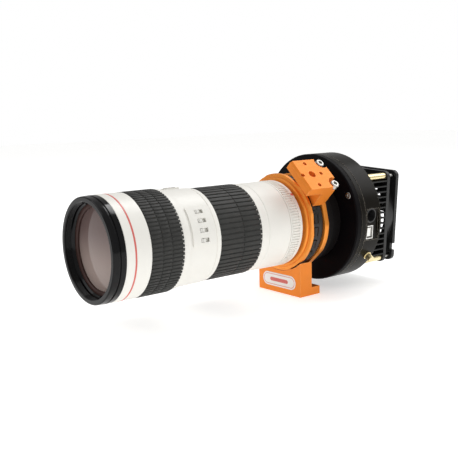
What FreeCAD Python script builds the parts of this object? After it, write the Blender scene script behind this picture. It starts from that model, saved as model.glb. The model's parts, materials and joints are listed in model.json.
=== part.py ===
import FreeCAD, Part
import math
import os

# Tele lens carried by a footed rotating adapter, with a cooled round camera behind it.
# Frame: origin at the tripod thread's mouth on the foot's underside, +Z up, the lens looks along -Y.
# Stations are Y values along the optical axis. Angles run from straight up (+Z) towards +X.

AXIS_Z = 60.4
FIT = 0.05
GAP = 0.3

# Lens stations, front to back
RIM_Y = -188.1
BEZEL_END_Y = -178.4
FOCUS_FRONT_Y = -158.5
FOCUS_REAR_Y = -132.5
ZOOM_FRONT_Y = -98.4
ZOOM_REAR_Y = -59.5
KNURL_Y = -29.2
LENS_END_Y = -16.9

# Lens radii
BEZEL_R = 37.9
FILTER_R = 33.5
GLASS_R = 32.3
GLASS_Y = -175.6
CLAMP_Y = -180.4
CLAMP_R = 29.4
BARREL_R = 38.0
FOCUS_GRIP_R = 38.15
FOCUS_SLEEVE_R = 36.6
FOCUS_TUBE_R = 35.4
MID_R = 36.4
ZOOM_GRIP_R = 35.6
ZOOM_SLEEVE_R = 34.2
GUIDE_R = 32.8
CAM_R = 31.2
CELL_R = 29.4
REAR_R = 35.2
KNURL_R = 35.4
INDEX_Y = -18.6
INDEX_R = 1.25
INDEX_ANGLE = 44.0
ACCENT_Y = -171.9
ACCENT_WIDTH = 1.3
WINDOW_Y = -118.3
WINDOW_LENGTH = 8.0
WINDOW_ARC = 40.0
WINDOW_START = -46.0
WINDOW_R = 37.7
SHOULDER_R = 37.3
SHOULDER_END_Y = -127.0
MID_SEAM_Y = -102.85
REAR_SEAM_Y = -52.2
FOCUS_SEAMS = (-149.85, -142.35)
FOCUS_SEAM_R = 37.4
ZOOM_SEAM_Y = -76.85
SEAM_HALF = 0.35
PANEL_Y = -124.2
PANEL_LENGTH = 20.3
PANEL_START = 47.0
PANEL_ARC = 45.0
PANEL_R = 37.2
PANEL_SEAT_R = 35.2
SWITCH_ANGLES = (53.0, 64.0, 75.0, 86.0)
SWITCH_Y = -115.5
SWITCH_TRAVEL = 3.0
SWITCH_LENGTH = 3.4
SWITCH_WIDTH = 2.4
SWITCH_R = 38.0
ZOOM_KEY_ARC = 8.0
ZOOM_THROW = 66.0
KEY_Y = -79.0
KEY_HALF = 2.0
CAM_SLOT_Y = -90.0
CAM_SLOT_SLOPE = 28.0
TUBE_BORE_END_Y = -167.0
MOTOR_Y = -131.0
MOTOR_END_Y = -124.5
FOCUS_CELL_Y = -148.0
FOCUS_GLASS_R = 24.0
DRUM_Y = -121.0
DRUM_END_Y = -107.0
VARIATOR_Y = -94.0
VARIATOR_GLASS_R = 20.0
COMPENSATOR_Y = -65.0
COMPENSATOR_GLASS_R = 19.0
IRIS_Y = -56.2
IRIS_END_Y = -51.0
RELAY_Y = -50.0
RELAY_PLATE = 3.0
RELAY_END_Y = -17.5
RELAY_GLASS_Y = -22.0
RELAY_GLASS_R = 16.0

# Adapter stations and radii
ADAPTER_Y = -14.5
COLLAR_R = 37.5
FLANGE_Y = -12.0
FLANGE_R = 40.5
FRONT_RING_END_Y = -9.0
LOCK_Y = -8.75
LOCK_END_Y = 3.7
PAD_Y = -6.4
PAD_END_Y = -2.2
LOCK_R = 37.5
LOCK_LAND_R = 38.6
REAR_RING_Y = 4.0
REAR_RING_END_Y = 8.45
REAR_RING_R = 39.5
JOURNAL_R = 34.0
JOURNAL_END_Y = 8.9
MOUNT_BORE_R = 27.6
LIGHT_BORE_R = 30.5
BORE_STEP_Y = -8.0
LUG_Y = -12.0
LUG_END_Y = -9.6
LUG_R = 27.0
LUG_ARC = 54.0
FLAT_DEPTH = 1.05
FRONT_FLAT_ANGLE = 28.0
REAR_FLAT_ANGLE = 17.0
LOCK_NOTCHES = 22
NOTCH_ANGLE = 5.2
RELEASE_Y = -11.4
RELEASE_STEM_R = 1.3
RELEASE_HEAD_R = 2.0
RELEASE_ANGLE = 270.0

# Foot
FOOT_HALF = 25.55
FOOT_LENGTH = 22.44
FOOT_BASE_H = 6.75
TOWER_END_Y = 2.0
SADDLE_R = 41.0
SOCKET_R = 2.55
SOCKET_DEPTH = 12.0
TONGUE_Y = -10.2
TONGUE_THICK = 4.0
TONGUE_HALF = 14.0
TONGUE_DROP = 50.5
FOOT_SCREW_X = 8.5
FOOT_SCREW_H = 46.2
BADGE_Z = 10.6
BADGE_LENGTH = 40.0
BADGE_H = 11.6
BADGE_THICK = 0.5

# Accessory bracket, described as if it stood straight up, then turned to its angle
BRACKET_ANGLE = 44.0
PLATE_TOP = 58.15
PLATE_UNDER = 50.85
PLATE_HALF = 15.0
PLATE_Y = -23.65
PLATE_END_Y = 9.1
LEDGE = 54.0
LEG_Y = -6.85
LEG_BEVEL = 2.6
BEAK_HALF = 6.4
LEG_END_Y = 8.3
BRACKET_SCREW_X = 11.3
BRACKET_SCREW_Y = 6.2
BRACKET_SHANK_R = 1.7
SCALLOP_R = 6.0
ACCESSORY_Y = -11.35
ACCESSORY_R = 3.2
SMALL_HOLE_R = 1.65
SMALL_HOLE_X = 11.2
SMALL_HOLE_Y = 9.8

# Camera
CAMERA_R = 54.3
NOSE_R = 38.0
NOSE_STEP_Y = 14.6
NOSE_NECK_R = 36.0
PLATE_FRONT_Y = 25.65
RING_FRONT_Y = 31.4
SHELL_FRONT_Y = 36.6
SHELL_END_Y = 55.15
BACK_WALL = 5.0
SHELL_BORE_R = 44.0
RING_BORE_R = 36.0
GROOVE = 0.5
PLATE_SCREW_R = 48.85
PLATE_SCREW_ANGLE = 63.7
CAMERA_TURN = 3.5
PORT_ANGLE = 93.5
PORT_Y = 38.2
PORT_END_Y = 53.2
PORT_FLAT = 52.0
PORT_HALF = 13.0
ROUND_PORT_X = 7.5
ROUND_PORT_Y = 44.0
ROUND_PORT_R = 6.0
USB_X = -6.5
USB_Y = 43.2
USB_HALF = 5.6
PLUG_ANGLE = 123.5
PLUG_Y = 47.0
SENSOR_Y = 28.15
SINK_END_Y = 77.35
SINK_BASE = 5.0
SINK_HALF_X = 40.0
SINK_HALF_Z = 32.6
FIN_COUNT = 15
FIN_THICK = 1.1
FAN_Y = 77.65
FAN_END_Y = 92.65
FAN_HALF = 40.0
FAN_HOLE = 35.75
FAN_CORNER_R = 5.0
FAN_FLANGE = 3.4
DUCT_R = 38.2
DUCT_WALL = 1.4
NOTCH_TOP = -24.5
NOTCH_LOW = -30.5
NOTCH_DEPTH = 2.6
HUB_R = 17.0
BLADE_COUNT = 7
BLADE_R = 37.2
BLADE_PITCH = 38.0
BLADE_THICK = 1.3

ALONG = FreeCAD.Vector(0, 1, 0)
UP = FreeCAD.Vector(0, 0, 1)


def at(y, radius=0.0, angle=0.0):
    """Point at a station, a distance from the optical axis and an angle round it."""
    turn = math.radians(angle)
    return FreeCAD.Vector(radius * math.sin(turn), y, AXIS_Z + radius * math.cos(turn))


def disc(y0, y1, radius):
    """Round bar along the optical axis."""
    return Part.makeCylinder(radius, y1 - y0, at(y0), ALONG)


def tube(y0, y1, inner, outer):
    """Plain ring or tube round the optical axis."""
    return disc(y0, y1, outer).cut(disc(y0, y1, inner))


def turned(outline, span=360.0, start=0.0):
    """Lathe-turned solid, or a slice of one, from a closed outline of (station, radius) points."""
    corners = [at(y, radius, start) for y, radius in outline]
    wire = Part.makePolygon(corners + corners[:1])
    return Part.Face(wire).revolve(at(0), ALONG, span)


def sector(y0, y1, inner, outer, start, span):
    """Slice of a ring, from a start angle through a span."""
    return turned([(y0, inner), (y1, inner), (y1, outer), (y0, outer)], span, start)


def block(x0, x1, y0, y1, h0, h1):
    """Box whose heights are measured from the optical axis."""
    return Part.makeBox(x1 - x0, y1 - y0, h1 - h0, FreeCAD.Vector(x0, y0, AXIS_Z + h0))


def pin_up(x, y, h0, h1, radius):
    """Round bar standing straight up, heights measured from the optical axis."""
    return Part.makeCylinder(radius, h1 - h0, FreeCAD.Vector(x, y, AXIS_Z + h0), UP)


def pin_along(x, height, y0, y1, radius):
    """Round bar parallel to the optical axis, height measured from it."""
    return Part.makeCylinder(radius, y1 - y0, FreeCAD.Vector(x, y0, AXIS_Z + height), ALONG)


def turn_to(shape, angle):
    """Copy of a shape that was drawn straight up, turned round the optical axis."""
    copy = shape.copy()
    copy.rotate(at(0), ALONG, angle)
    return copy


def around(shape, count, first=0.0):
    """Evenly spaced copies round the optical axis."""
    return [turn_to(shape, first + index * 360.0 / count) for index in range(count)]


def lens_disc(y, radius, centre, edge):
    """Biconvex glass element, given its middle and edge thickness."""
    sag = (centre - edge) / 2
    ball_r = (radius ** 2 + sag ** 2) / (2 * sag)
    front_ball = Part.makeSphere(ball_r, at(y - centre / 2 + ball_r))
    rear_ball = Part.makeSphere(ball_r, at(y + centre / 2 - ball_r))
    return disc(y - centre, y + centre, radius).common(front_ball).common(rear_ball)


def hex_screw(x, y, h_seat, head_r, head_h, shank_r, h_tip):
    """Socket-head screw standing straight up, with its hexagon socket."""
    screw = pin_up(x, y, h_tip, h_seat, shank_r).fuse(pin_up(x, y, h_seat, h_seat + head_h, head_r))
    corners = []
    for index in range(7):
        turn = math.radians(60.0 * index)
        offset = FreeCAD.Vector(math.cos(turn), math.sin(turn), 0) * (head_r * 0.5)
        corners.append(FreeCAD.Vector(x, y, AXIS_Z + h_seat + head_h * 0.45) + offset)
    socket = Part.Face(Part.makePolygon(corners)).extrude(UP * head_h)
    return screw.cut(socket)


def flats(shape, radius, depth, first, y0, y1):
    """Six wrench flats milled on a ring's rim."""
    cutter = block(-radius, radius, y0, y1, radius - depth, radius + depth)
    for flat in around(cutter, 6, first):
        shape = shape.cut(flat)
    return shape


# --- Lens ------------------------------------------------------------------------------------


def front_bezel():
    """Black front ring with the filter thread, a groove round it and a spigot into the barrel."""
    outline = [
        (RIM_Y, FILTER_R),
        (RIM_Y, BEZEL_R - 0.9),
        (RIM_Y + 0.6, BEZEL_R - 0.4),
        (RIM_Y + 4.2, BEZEL_R),
        (RIM_Y + 4.6, BEZEL_R - 0.8),
        (RIM_Y + 5.4, BEZEL_R - 0.8),
        (RIM_Y + 5.8, BEZEL_R),
        (BEZEL_END_Y, BEZEL_R),
        (BEZEL_END_Y, BEZEL_R - 1.9),
        (BEZEL_END_Y + 3.0, BEZEL_R - 1.9),
        (BEZEL_END_Y + 3.0, GLASS_R + 1.4),
        (BEZEL_END_Y, GLASS_R + 1.4),
        (BEZEL_END_Y, GLASS_R),
        (CLAMP_Y - 0.1, GLASS_R),
        (CLAMP_Y - 1.2, FILTER_R),
    ]
    return turned(outline)


def front_barrel():
    """White front barrel with the groove for the coloured ring and the tube that the focus ring turns on."""
    outline = [
        (BEZEL_END_Y, BARREL_R),
        (ACCENT_Y, BARREL_R),
        (ACCENT_Y, BARREL_R - 0.7),
        (ACCENT_Y + ACCENT_WIDTH, BARREL_R - 0.7),
        (ACCENT_Y + ACCENT_WIDTH, BARREL_R),
        (FOCUS_FRONT_Y - GAP, BARREL_R),
        (FOCUS_FRONT_Y - GAP, FOCUS_TUBE_R),
        (FOCUS_REAR_Y + 4.0, FOCUS_TUBE_R),
        (FOCUS_REAR_Y + 4.0, FOCUS_TUBE_R - 1.4),
        (TUBE_BORE_END_Y, FOCUS_TUBE_R - 1.4),
        (TUBE_BORE_END_Y, GLASS_R + 0.1),
        (BEZEL_END_Y + 3.2, GLASS_R + 0.1),
        (BEZEL_END_Y + 3.2, BEZEL_R - 1.8),
        (BEZEL_END_Y, BEZEL_R - 1.8),
    ]
    return turned(outline)


def mid_barrel():
    """White middle barrel, open for the distance window and stepped down under the switch panel."""
    outline = [
        (FOCUS_REAR_Y + GAP, SHOULDER_R),
        (SHOULDER_END_Y, SHOULDER_R),
        (SHOULDER_END_Y + 1.4, MID_R),
        (MID_SEAM_Y - 0.45, MID_R - 0.3),
        (MID_SEAM_Y - 0.25, MID_R - 0.8),
        (MID_SEAM_Y + 0.25, MID_R - 0.8),
        (MID_SEAM_Y + 0.45, MID_R - 0.4),
        (ZOOM_FRONT_Y - GAP, ZOOM_GRIP_R),
        (ZOOM_FRONT_Y - GAP, GUIDE_R + FIT),
        (ZOOM_FRONT_Y - 2.0, GUIDE_R + FIT),
        (ZOOM_FRONT_Y - 2.0, MID_R - 2.2),
        (SHOULDER_END_Y + 0.5, MID_R - 2.2),
        (SHOULDER_END_Y + 0.5, FOCUS_TUBE_R + FIT),
        (FOCUS_REAR_Y + GAP, FOCUS_TUBE_R + FIT),
    ]
    barrel = turned(outline)
    window_end = WINDOW_Y + WINDOW_LENGTH
    boss = sector(WINDOW_Y - 2, window_end + 2, MID_R - 1.4, SHOULDER_R, WINDOW_START - 3, WINDOW_ARC + 6)
    hole = sector(WINDOW_Y, window_end, MID_R - 3.4, BARREL_R + 1, WINDOW_START, WINDOW_ARC)
    seat = sector(PANEL_Y, PANEL_Y + PANEL_LENGTH, PANEL_SEAT_R, BARREL_R + 1, PANEL_START, PANEL_ARC)
    return barrel.fuse(boss).removeSplitter().cut(hole).cut(seat)


def scale_window():
    """Clear window over the distance scale."""
    end = WINDOW_Y + WINDOW_LENGTH - FIT
    return sector(WINDOW_Y + FIT, end, WINDOW_R - 2.1, WINDOW_R, WINDOW_START + FIT, WINDOW_ARC - 2 * FIT)


def switch_panel():
    """Raised plate with four slots, relieved underneath for the sliders' flanges."""
    panel = sector(PANEL_Y, PANEL_Y + PANEL_LENGTH, PANEL_SEAT_R, PANEL_R, PANEL_START, PANEL_ARC)
    slot_end = SWITCH_Y + SWITCH_TRAVEL + SWITCH_LENGTH / 2 + GAP
    slot_start = SWITCH_Y - SWITCH_LENGTH / 2 - GAP
    half = SWITCH_WIDTH / 2 + GAP
    slot = block(-half, half, slot_start, slot_end, PANEL_SEAT_R - 1, SWITCH_R)
    wide = half + 0.9
    relief = block(-wide, wide, slot_start - 0.9, slot_end + 0.9, PANEL_SEAT_R - 1, PANEL_SEAT_R + 0.9)
    for angle in SWITCH_ANGLES:
        panel = panel.cut(turn_to(slot.fuse(relief), angle))
    return panel


def switch_slider(angle):
    """Sliding switch knob with a flange under the panel and a raised finger rib."""
    half = SWITCH_WIDTH / 2
    low = SWITCH_Y - SWITCH_LENGTH / 2
    high = SWITCH_Y + SWITCH_LENGTH / 2
    flange = block(-half - 0.7, half + 0.7, low - 0.7, high + 0.7, PANEL_SEAT_R + 0.2, PANEL_SEAT_R + 0.6)
    knob = block(-half, half, low, high, PANEL_SEAT_R + 0.6, PANEL_R + 0.3)
    rib = block(-half, half, SWITCH_Y - 0.6, SWITCH_Y + 0.6, PANEL_R + 0.3, SWITCH_R)
    return turn_to(flange.fuse([knob, rib]).removeSplitter(), angle)


def rear_barrel():
    """White rear barrel in one piece with the guide tube that the zoom ring turns on."""
    outline = [
        (ZOOM_FRONT_Y - 2.0, GUIDE_R),
        (ZOOM_REAR_Y + GAP, GUIDE_R),
        (ZOOM_REAR_Y + GAP, REAR_R),
        (REAR_SEAM_Y - 1.0, REAR_R),
        (REAR_SEAM_Y - 0.6, REAR_R - 0.35),
        (REAR_SEAM_Y + 0.6, REAR_R - 0.35),
        (REAR_SEAM_Y + 1.0, REAR_R),
        (KNURL_Y - 0.5, REAR_R),
        (KNURL_Y - 0.2, REAR_R - 0.5),
        (KNURL_Y, REAR_R - 0.5),
        (KNURL_Y, REAR_R - 2.0),
        (LENS_END_Y - 0.2, REAR_R - 2.0),
        (LENS_END_Y - 0.2, REAR_R - 3.4),
        (ZOOM_REAR_Y + 3.0, REAR_R - 3.4),
        (ZOOM_REAR_Y + 3.0, GUIDE_R - 1.5),
        (ZOOM_FRONT_Y - 2.0, GUIDE_R - 1.5),
    ]
    slot_arc = ZOOM_THROW + ZOOM_KEY_ARC + 4.0
    low = KEY_Y - KEY_HALF - 1.0
    high = KEY_Y + KEY_HALF + 1.0
    slot = sector(low, high, GUIDE_R - 2.8, GUIDE_R + 1.2, -slot_arc / 2, slot_arc)
    return turned(outline).cut(slot)


def mount_knurl_ring():
    """White ring with a fine straight knurl, next to the bayonet."""
    band = turned(
        [
            (KNURL_Y + 0.1, REAR_R - 1.9),
            (KNURL_Y + 0.1, KNURL_R - 0.3),
            (KNURL_Y + 0.4, KNURL_R),
            (LENS_END_Y - 0.4, KNURL_R),
            (LENS_END_Y, KNURL_R - 0.4),
            (LENS_END_Y, REAR_R - 1.9),
        ]
    )
    return band.cut(turn_to(pin_up(0, INDEX_Y, KNURL_R - 0.8, KNURL_R + 1, INDEX_R), INDEX_ANGLE))


def index_dot():
    """Mounting index dot let into the ring."""
    dot = pin_up(0, INDEX_Y, KNURL_R - 0.8, KNURL_R + 0.25, INDEX_R)
    return turn_to(dot, INDEX_ANGLE)


def lens_mount_flange():
    """Metal bayonet: a flange against the adapter and three lugs hooked behind its lip."""
    flange = tube(LENS_END_Y, ADAPTER_Y, 23.0, 32.5)
    neck = tube(ADAPTER_Y, LUG_END_Y, 23.0, 25.0)
    mount = flange.fuse(neck)
    for lug in around(sector(LUG_Y, LUG_END_Y, 24.5, LUG_R, -LUG_ARC / 2, LUG_ARC), 3, 60.0):
        mount = mount.fuse(lug)
    return mount.removeSplitter()


def focus_sleeve():
    """Inner sleeve of the focus ring."""
    return tube(FOCUS_FRONT_Y, FOCUS_REAR_Y, FOCUS_TUBE_R + FIT, FOCUS_SLEEVE_R)


def focus_grip():
    """Rubber grip of the focus ring: three rows separated by shallow seams."""
    outline = [(FOCUS_FRONT_Y, FOCUS_SLEEVE_R), (FOCUS_FRONT_Y, FOCUS_GRIP_R)]
    for seam in FOCUS_SEAMS:
        outline += [(seam - 0.5, FOCUS_GRIP_R), (seam - 0.5, FOCUS_SEAM_R)]
        outline += [(seam + 0.5, FOCUS_SEAM_R), (seam + 0.5, FOCUS_GRIP_R)]
    outline += [(FOCUS_REAR_Y, FOCUS_GRIP_R), (FOCUS_REAR_Y, FOCUS_SLEEVE_R)]
    return turned(outline)


def zoom_sleeve():
    """Inner sleeve of the zoom ring."""
    return tube(ZOOM_FRONT_Y, ZOOM_REAR_Y, GUIDE_R + FIT, ZOOM_SLEEVE_R)


def zoom_grip():
    """Rubber grip of the zoom ring with one seam near its middle."""
    outline = [
        (ZOOM_FRONT_Y, ZOOM_SLEEVE_R),
        (ZOOM_FRONT_Y, ZOOM_GRIP_R),
        (ZOOM_SEAM_Y - SEAM_HALF, ZOOM_GRIP_R),
        (ZOOM_SEAM_Y - SEAM_HALF, ZOOM_GRIP_R - 0.5),
        (ZOOM_SEAM_Y + SEAM_HALF, ZOOM_GRIP_R - 0.5),
        (ZOOM_SEAM_Y + SEAM_HALF, ZOOM_GRIP_R),
        (ZOOM_REAR_Y, ZOOM_GRIP_R),
        (ZOOM_REAR_Y, ZOOM_SLEEVE_R),
    ]
    return turned(outline)


def zoom_cam_tube():
    """Cam tube inside the guide tube, with its drive key and three sloping cam slots."""
    cam = tube(ZOOM_FRONT_Y, ZOOM_REAR_Y + 2.0, CELL_R + FIT, CAM_R)
    key = sector(KEY_Y - KEY_HALF, KEY_Y + KEY_HALF, CAM_R - 0.5, GUIDE_R, -ZOOM_KEY_ARC / 2, ZOOM_KEY_ARC)
    slot = block(-1.5, 1.5, CAM_SLOT_Y - 6.0, CAM_SLOT_Y + 6.0, CELL_R - 9.0, CAM_R + 9.0)
    slot.rotate(at(CAM_SLOT_Y), UP, CAM_SLOT_SLOPE)
    for cutter in around(slot, 3, 60.0):
        cam = cam.cut(cutter)
    return cam.fuse(key).removeSplitter()


def cell(y, length, glass_r, outer):
    """Ring that carries a glass element at its middle."""
    return tube(y - length / 2, y + length / 2, glass_r + FIT, outer)


def relay_cell():
    """Fixed rear lens tube with the plate that carries it in the barrel."""
    plate = tube(RELAY_Y, RELAY_Y + RELAY_PLATE, RELAY_GLASS_R - 1.0, REAR_R - 3.45)
    barrel = tube(RELAY_Y + RELAY_PLATE, RELAY_END_Y, RELAY_GLASS_R, RELAY_GLASS_R + 2.5)
    return plate.fuse(barrel).removeSplitter()


def aperture_unit():
    """Iris housing with its opening wide."""
    return tube(IRIS_Y, IRIS_END_Y, 14.0, REAR_R - 3.45)


def focus_motor():
    """Ring motor that drives the focusing group."""
    return tube(MOTOR_Y, MOTOR_END_Y, 27.5, FOCUS_TUBE_R - 1.45)


# --- Adapter ---------------------------------------------------------------------------------


def adapter_front_ring():
    """Anodised front ring: bayonet mouth, rim with six flats, journal tube and a tongue for the foot."""
    outline = [
        (ADAPTER_Y, MOUNT_BORE_R),
        (ADAPTER_Y, COLLAR_R - 2.1),
        (ADAPTER_Y + 0.6, COLLAR_R - 0.6),
        (ADAPTER_Y + 1.6, COLLAR_R),
        (FLANGE_Y - 0.3, COLLAR_R - 0.4),
        (FLANGE_Y, FLANGE_R - 0.6),
        (FLANGE_Y + 0.5, FLANGE_R),
        (FRONT_RING_END_Y - 0.3, FLANGE_R),
        (FRONT_RING_END_Y, FLANGE_R - 0.3),
        (FRONT_RING_END_Y, JOURNAL_R),
        (JOURNAL_END_Y, JOURNAL_R),
        (JOURNAL_END_Y, LIGHT_BORE_R),
        (BORE_STEP_Y, LIGHT_BORE_R),
        (BORE_STEP_Y, MOUNT_BORE_R),
    ]
    ring = flats(turned(outline), FLANGE_R, FLAT_DEPTH, FRONT_FLAT_ANGLE, FLANGE_Y, FRONT_RING_END_Y)
    lip_arc = LUG_ARC + 2.0
    for lip in around(sector(ADAPTER_Y, LUG_Y - 0.2, 25.2, MOUNT_BORE_R + 0.2, -lip_arc / 2, lip_arc), 3, 60.0):
        ring = ring.fuse(lip)
    tongue_end = TONGUE_Y + TONGUE_THICK
    tongue = block(-TONGUE_HALF, TONGUE_HALF, TONGUE_Y, tongue_end, -TONGUE_DROP, 1.5 - LOCK_LAND_R)
    tongue = tongue.cut(disc(FRONT_RING_END_Y, tongue_end, LOCK_LAND_R + 1.0))
    tongue = tongue.cut(disc(TONGUE_Y, FRONT_RING_END_Y, COLLAR_R + 0.5))
    ring = ring.fuse(tongue).removeSplitter()
    for x in (-FOOT_SCREW_X, FOOT_SCREW_X):
        ring = ring.cut(pin_along(x, -FOOT_SCREW_H, TONGUE_Y - 1, tongue_end + 1, 1.5))
    return ring.cut(release_channel(GAP / 3))


def release_channel(extra):
    """Stepped radial space of the lens release button, drawn at its own angle."""
    stem = pin_up(0, RELEASE_Y, 30.0, 36.0, RELEASE_STEM_R + extra)
    head = pin_up(0, RELEASE_Y, 35.0 + extra, FLANGE_R + 2, RELEASE_HEAD_R + extra)
    return turn_to(stem.fuse(head), RELEASE_ANGLE)


def release_button():
    """Spring-loaded release button of the bayonet lock, on the far side of the ring."""
    stem = pin_up(0, RELEASE_Y, 32.2, COLLAR_R, RELEASE_STEM_R)
    head = pin_up(0, RELEASE_Y, COLLAR_R, FLANGE_R + 2.2, RELEASE_HEAD_R)
    return turn_to(stem.fuse(head).removeSplitter(), RELEASE_ANGLE)


def lock_ring():
    """Black lock ring with a raised band cut by finger notches."""
    outline = [
        (LOCK_Y, JOURNAL_R + FIT),
        (LOCK_Y, LOCK_R - 0.4),
        (LOCK_Y + 0.4, LOCK_R),
        (PAD_Y, LOCK_R),
        (PAD_Y + 0.2, LOCK_LAND_R),
        (PAD_END_Y - 0.2, LOCK_LAND_R),
        (PAD_END_Y, LOCK_R),
        (LOCK_END_Y, LOCK_R),
        (LOCK_END_Y, JOURNAL_R + FIT),
    ]
    ring = turned(outline)
    notch = sector(PAD_Y - 0.1, PAD_END_Y + 0.1, LOCK_R, LOCK_LAND_R + 1, -NOTCH_ANGLE / 2, NOTCH_ANGLE)
    return ring.cut(around(notch, LOCK_NOTCHES, 4.0))


def adapter_rear_ring():
    """Anodised rear ring that turns on the journal and carries the bracket and the camera."""
    rim = [
        (REAR_RING_Y, JOURNAL_R + FIT),
        (REAR_RING_Y, REAR_RING_R - 0.3),
        (REAR_RING_Y + 0.3, REAR_RING_R),
        (REAR_RING_END_Y - 0.3, REAR_RING_R),
        (REAR_RING_END_Y, REAR_RING_R - 0.3),
        (REAR_RING_END_Y, JOURNAL_R + FIT),
    ]
    ring = flats(turned(rim), REAR_RING_R, FLAT_DEPTH, REAR_FLAT_ANGLE, REAR_RING_Y, REAR_RING_END_Y)
    for x in (-BRACKET_SCREW_X, BRACKET_SCREW_X):
        hole = pin_up(x, BRACKET_SCREW_Y, JOURNAL_R + 1.2, REAR_RING_R + 1, BRACKET_SHANK_R + FIT)
        ring = ring.cut(turn_to(hole, BRACKET_ANGLE))
    return ring


def rotator_clip():
    """Threaded ring on the end of the journal that keeps the rear ring on."""
    return tube(JOURNAL_END_Y, JOURNAL_END_Y + 2.4, LIGHT_BORE_R, JOURNAL_R + 1.6)


def accessory_bracket():
    """Bracket for a finder or a guide scope: a drilled plate on a leg that straddles the lock ring."""
    plate = block(-PLATE_HALF, PLATE_HALF, PLATE_Y, PLATE_END_Y, PLATE_UNDER, PLATE_TOP)
    leg = block(-PLATE_HALF, PLATE_HALF, LEG_Y, LEG_END_Y, 30.0, LEDGE)
    over_ledge = PLATE_TOP + 1
    for side in (-1, 1):
        x = side * BRACKET_SCREW_X
        plate = plate.cut(pin_up(x, BRACKET_SCREW_Y, LEDGE, over_ledge, SCALLOP_R))
        outer = sorted((x, side * (PLATE_HALF + 1)))
        plate = plate.cut(block(outer[0], outer[1], BRACKET_SCREW_Y, PLATE_END_Y + 1, LEDGE, over_ledge))
        rear = sorted((side * BEAK_HALF, side * (PLATE_HALF + 1)))
        plate = plate.cut(block(rear[0], rear[1], LEG_END_Y, PLATE_END_Y + 1, PLATE_UNDER - 1, over_ledge))
    bracket = plate.fuse(leg).removeSplitter()
    bracket = bracket.cut(disc(LEG_Y - 1, REAR_RING_Y - GAP, LOCK_LAND_R + 0.7))
    bracket = bracket.cut(disc(REAR_RING_Y - GAP, LEG_END_Y + 1, REAR_RING_R))
    bracket = bracket.cut(corner_wedge(1)).cut(corner_wedge(-1))
    bracket = bracket.cut(front_chamfer())
    for x in (-BRACKET_SCREW_X, BRACKET_SCREW_X):
        bracket = bracket.cut(pin_up(x, BRACKET_SCREW_Y, 30.0, LEDGE, BRACKET_SHANK_R + 0.1))
    holes = [pin_up(0, ACCESSORY_Y, PLATE_UNDER - 1, over_ledge, ACCESSORY_R)]
    for side in (-1, 1):
        holes.append(pin_up(side * SMALL_HOLE_X, ACCESSORY_Y, PLATE_UNDER - 1, over_ledge, SMALL_HOLE_R))
        holes.append(pin_up(0, ACCESSORY_Y + side * SMALL_HOLE_Y, PLATE_UNDER - 1, over_ledge, SMALL_HOLE_R))
    return turn_to(bracket.cut(holes), BRACKET_ANGLE)


def prism(corners, direction):
    """Straight prism from a closed run of corner points."""
    return Part.Face(Part.makePolygon(corners + corners[:1])).extrude(direction)


def corner_wedge(side):
    """Cutter that bevels a rear corner of the bracket's leg."""
    low = AXIS_Z + 30.0
    corners = [
        FreeCAD.Vector(side * (PLATE_HALF - LEG_BEVEL), LEG_END_Y + 0.1, low),
        FreeCAD.Vector(side * (PLATE_HALF + 1), LEG_END_Y + 0.1, low),
        FreeCAD.Vector(side * (PLATE_HALF + 1), LEG_END_Y - LEG_BEVEL - 0.9, low),
    ]
    return prism(corners, UP * 30.0)


def front_chamfer():
    """Cutter for the bevel along the plate's upper front edge."""
    corners = [
        FreeCAD.Vector(-PLATE_HALF - 1, PLATE_Y - 0.1, AXIS_Z + PLATE_TOP + 0.1),
        FreeCAD.Vector(-PLATE_HALF - 1, PLATE_Y + 1.6, AXIS_Z + PLATE_TOP + 0.1),
        FreeCAD.Vector(-PLATE_HALF - 1, PLATE_Y - 0.1, AXIS_Z + PLATE_TOP - 1.6),
    ]
    return prism(corners, FreeCAD.Vector(2 * PLATE_HALF + 2, 0, 0))


def bracket_screws():
    """Two socket-head screws that hold the bracket to the rear ring."""
    screws = []
    for x in (-BRACKET_SCREW_X, BRACKET_SCREW_X):
        screw = hex_screw(x, BRACKET_SCREW_Y, LEDGE, 3.5, 4.0, BRACKET_SHANK_R, JOURNAL_R + 1.6)
        screws.append(turn_to(screw, BRACKET_ANGLE))
    return Part.Compound(screws)


def foot():
    """Anodised L-shaped tripod foot, hollowed to the ring's curve, with a pocket for the ring's tongue."""
    front = -FOOT_LENGTH / 2
    base = Part.makeBox(2 * FOOT_HALF, FOOT_LENGTH, FOOT_BASE_H, FreeCAD.Vector(-FOOT_HALF, front, 0))
    tower = Part.makeBox(2 * FOOT_HALF, TOWER_END_Y - front, AXIS_Z, FreeCAD.Vector(-FOOT_HALF, front, 0))
    body = base.fuse(tower.cut(disc(front - 1, TOWER_END_Y + 1, SADDLE_R)))
    top_z = AXIS_Z - math.sqrt(SADDLE_R ** 2 - FOOT_HALF ** 2)
    above = Part.makeBox(4 * FOOT_HALF, 4 * FOOT_LENGTH, AXIS_Z, FreeCAD.Vector(-2 * FOOT_HALF, -FOOT_LENGTH, top_z))
    body = body.cut(above).removeSplitter()
    rear = TONGUE_Y + TONGUE_THICK
    body = body.cut(block(-TONGUE_HALF - 0.1, TONGUE_HALF + 0.1, TONGUE_Y, rear, -TONGUE_DROP - 0.2, -30.0))
    for x in (-FOOT_SCREW_X, FOOT_SCREW_X):
        body = body.cut(pin_along(x, -FOOT_SCREW_H, rear - 1, TOWER_END_Y + 1, 1.7))
        body = body.cut(pin_along(x, -FOOT_SCREW_H, TOWER_END_Y - 3.2, TOWER_END_Y + 1, 3.1))
    socket = Part.makeCylinder(SOCKET_R, SOCKET_DEPTH, FreeCAD.Vector(0, 0, 0), UP)
    return body.cut(socket).cut(badge_shape(0.3, 0.2))


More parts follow.
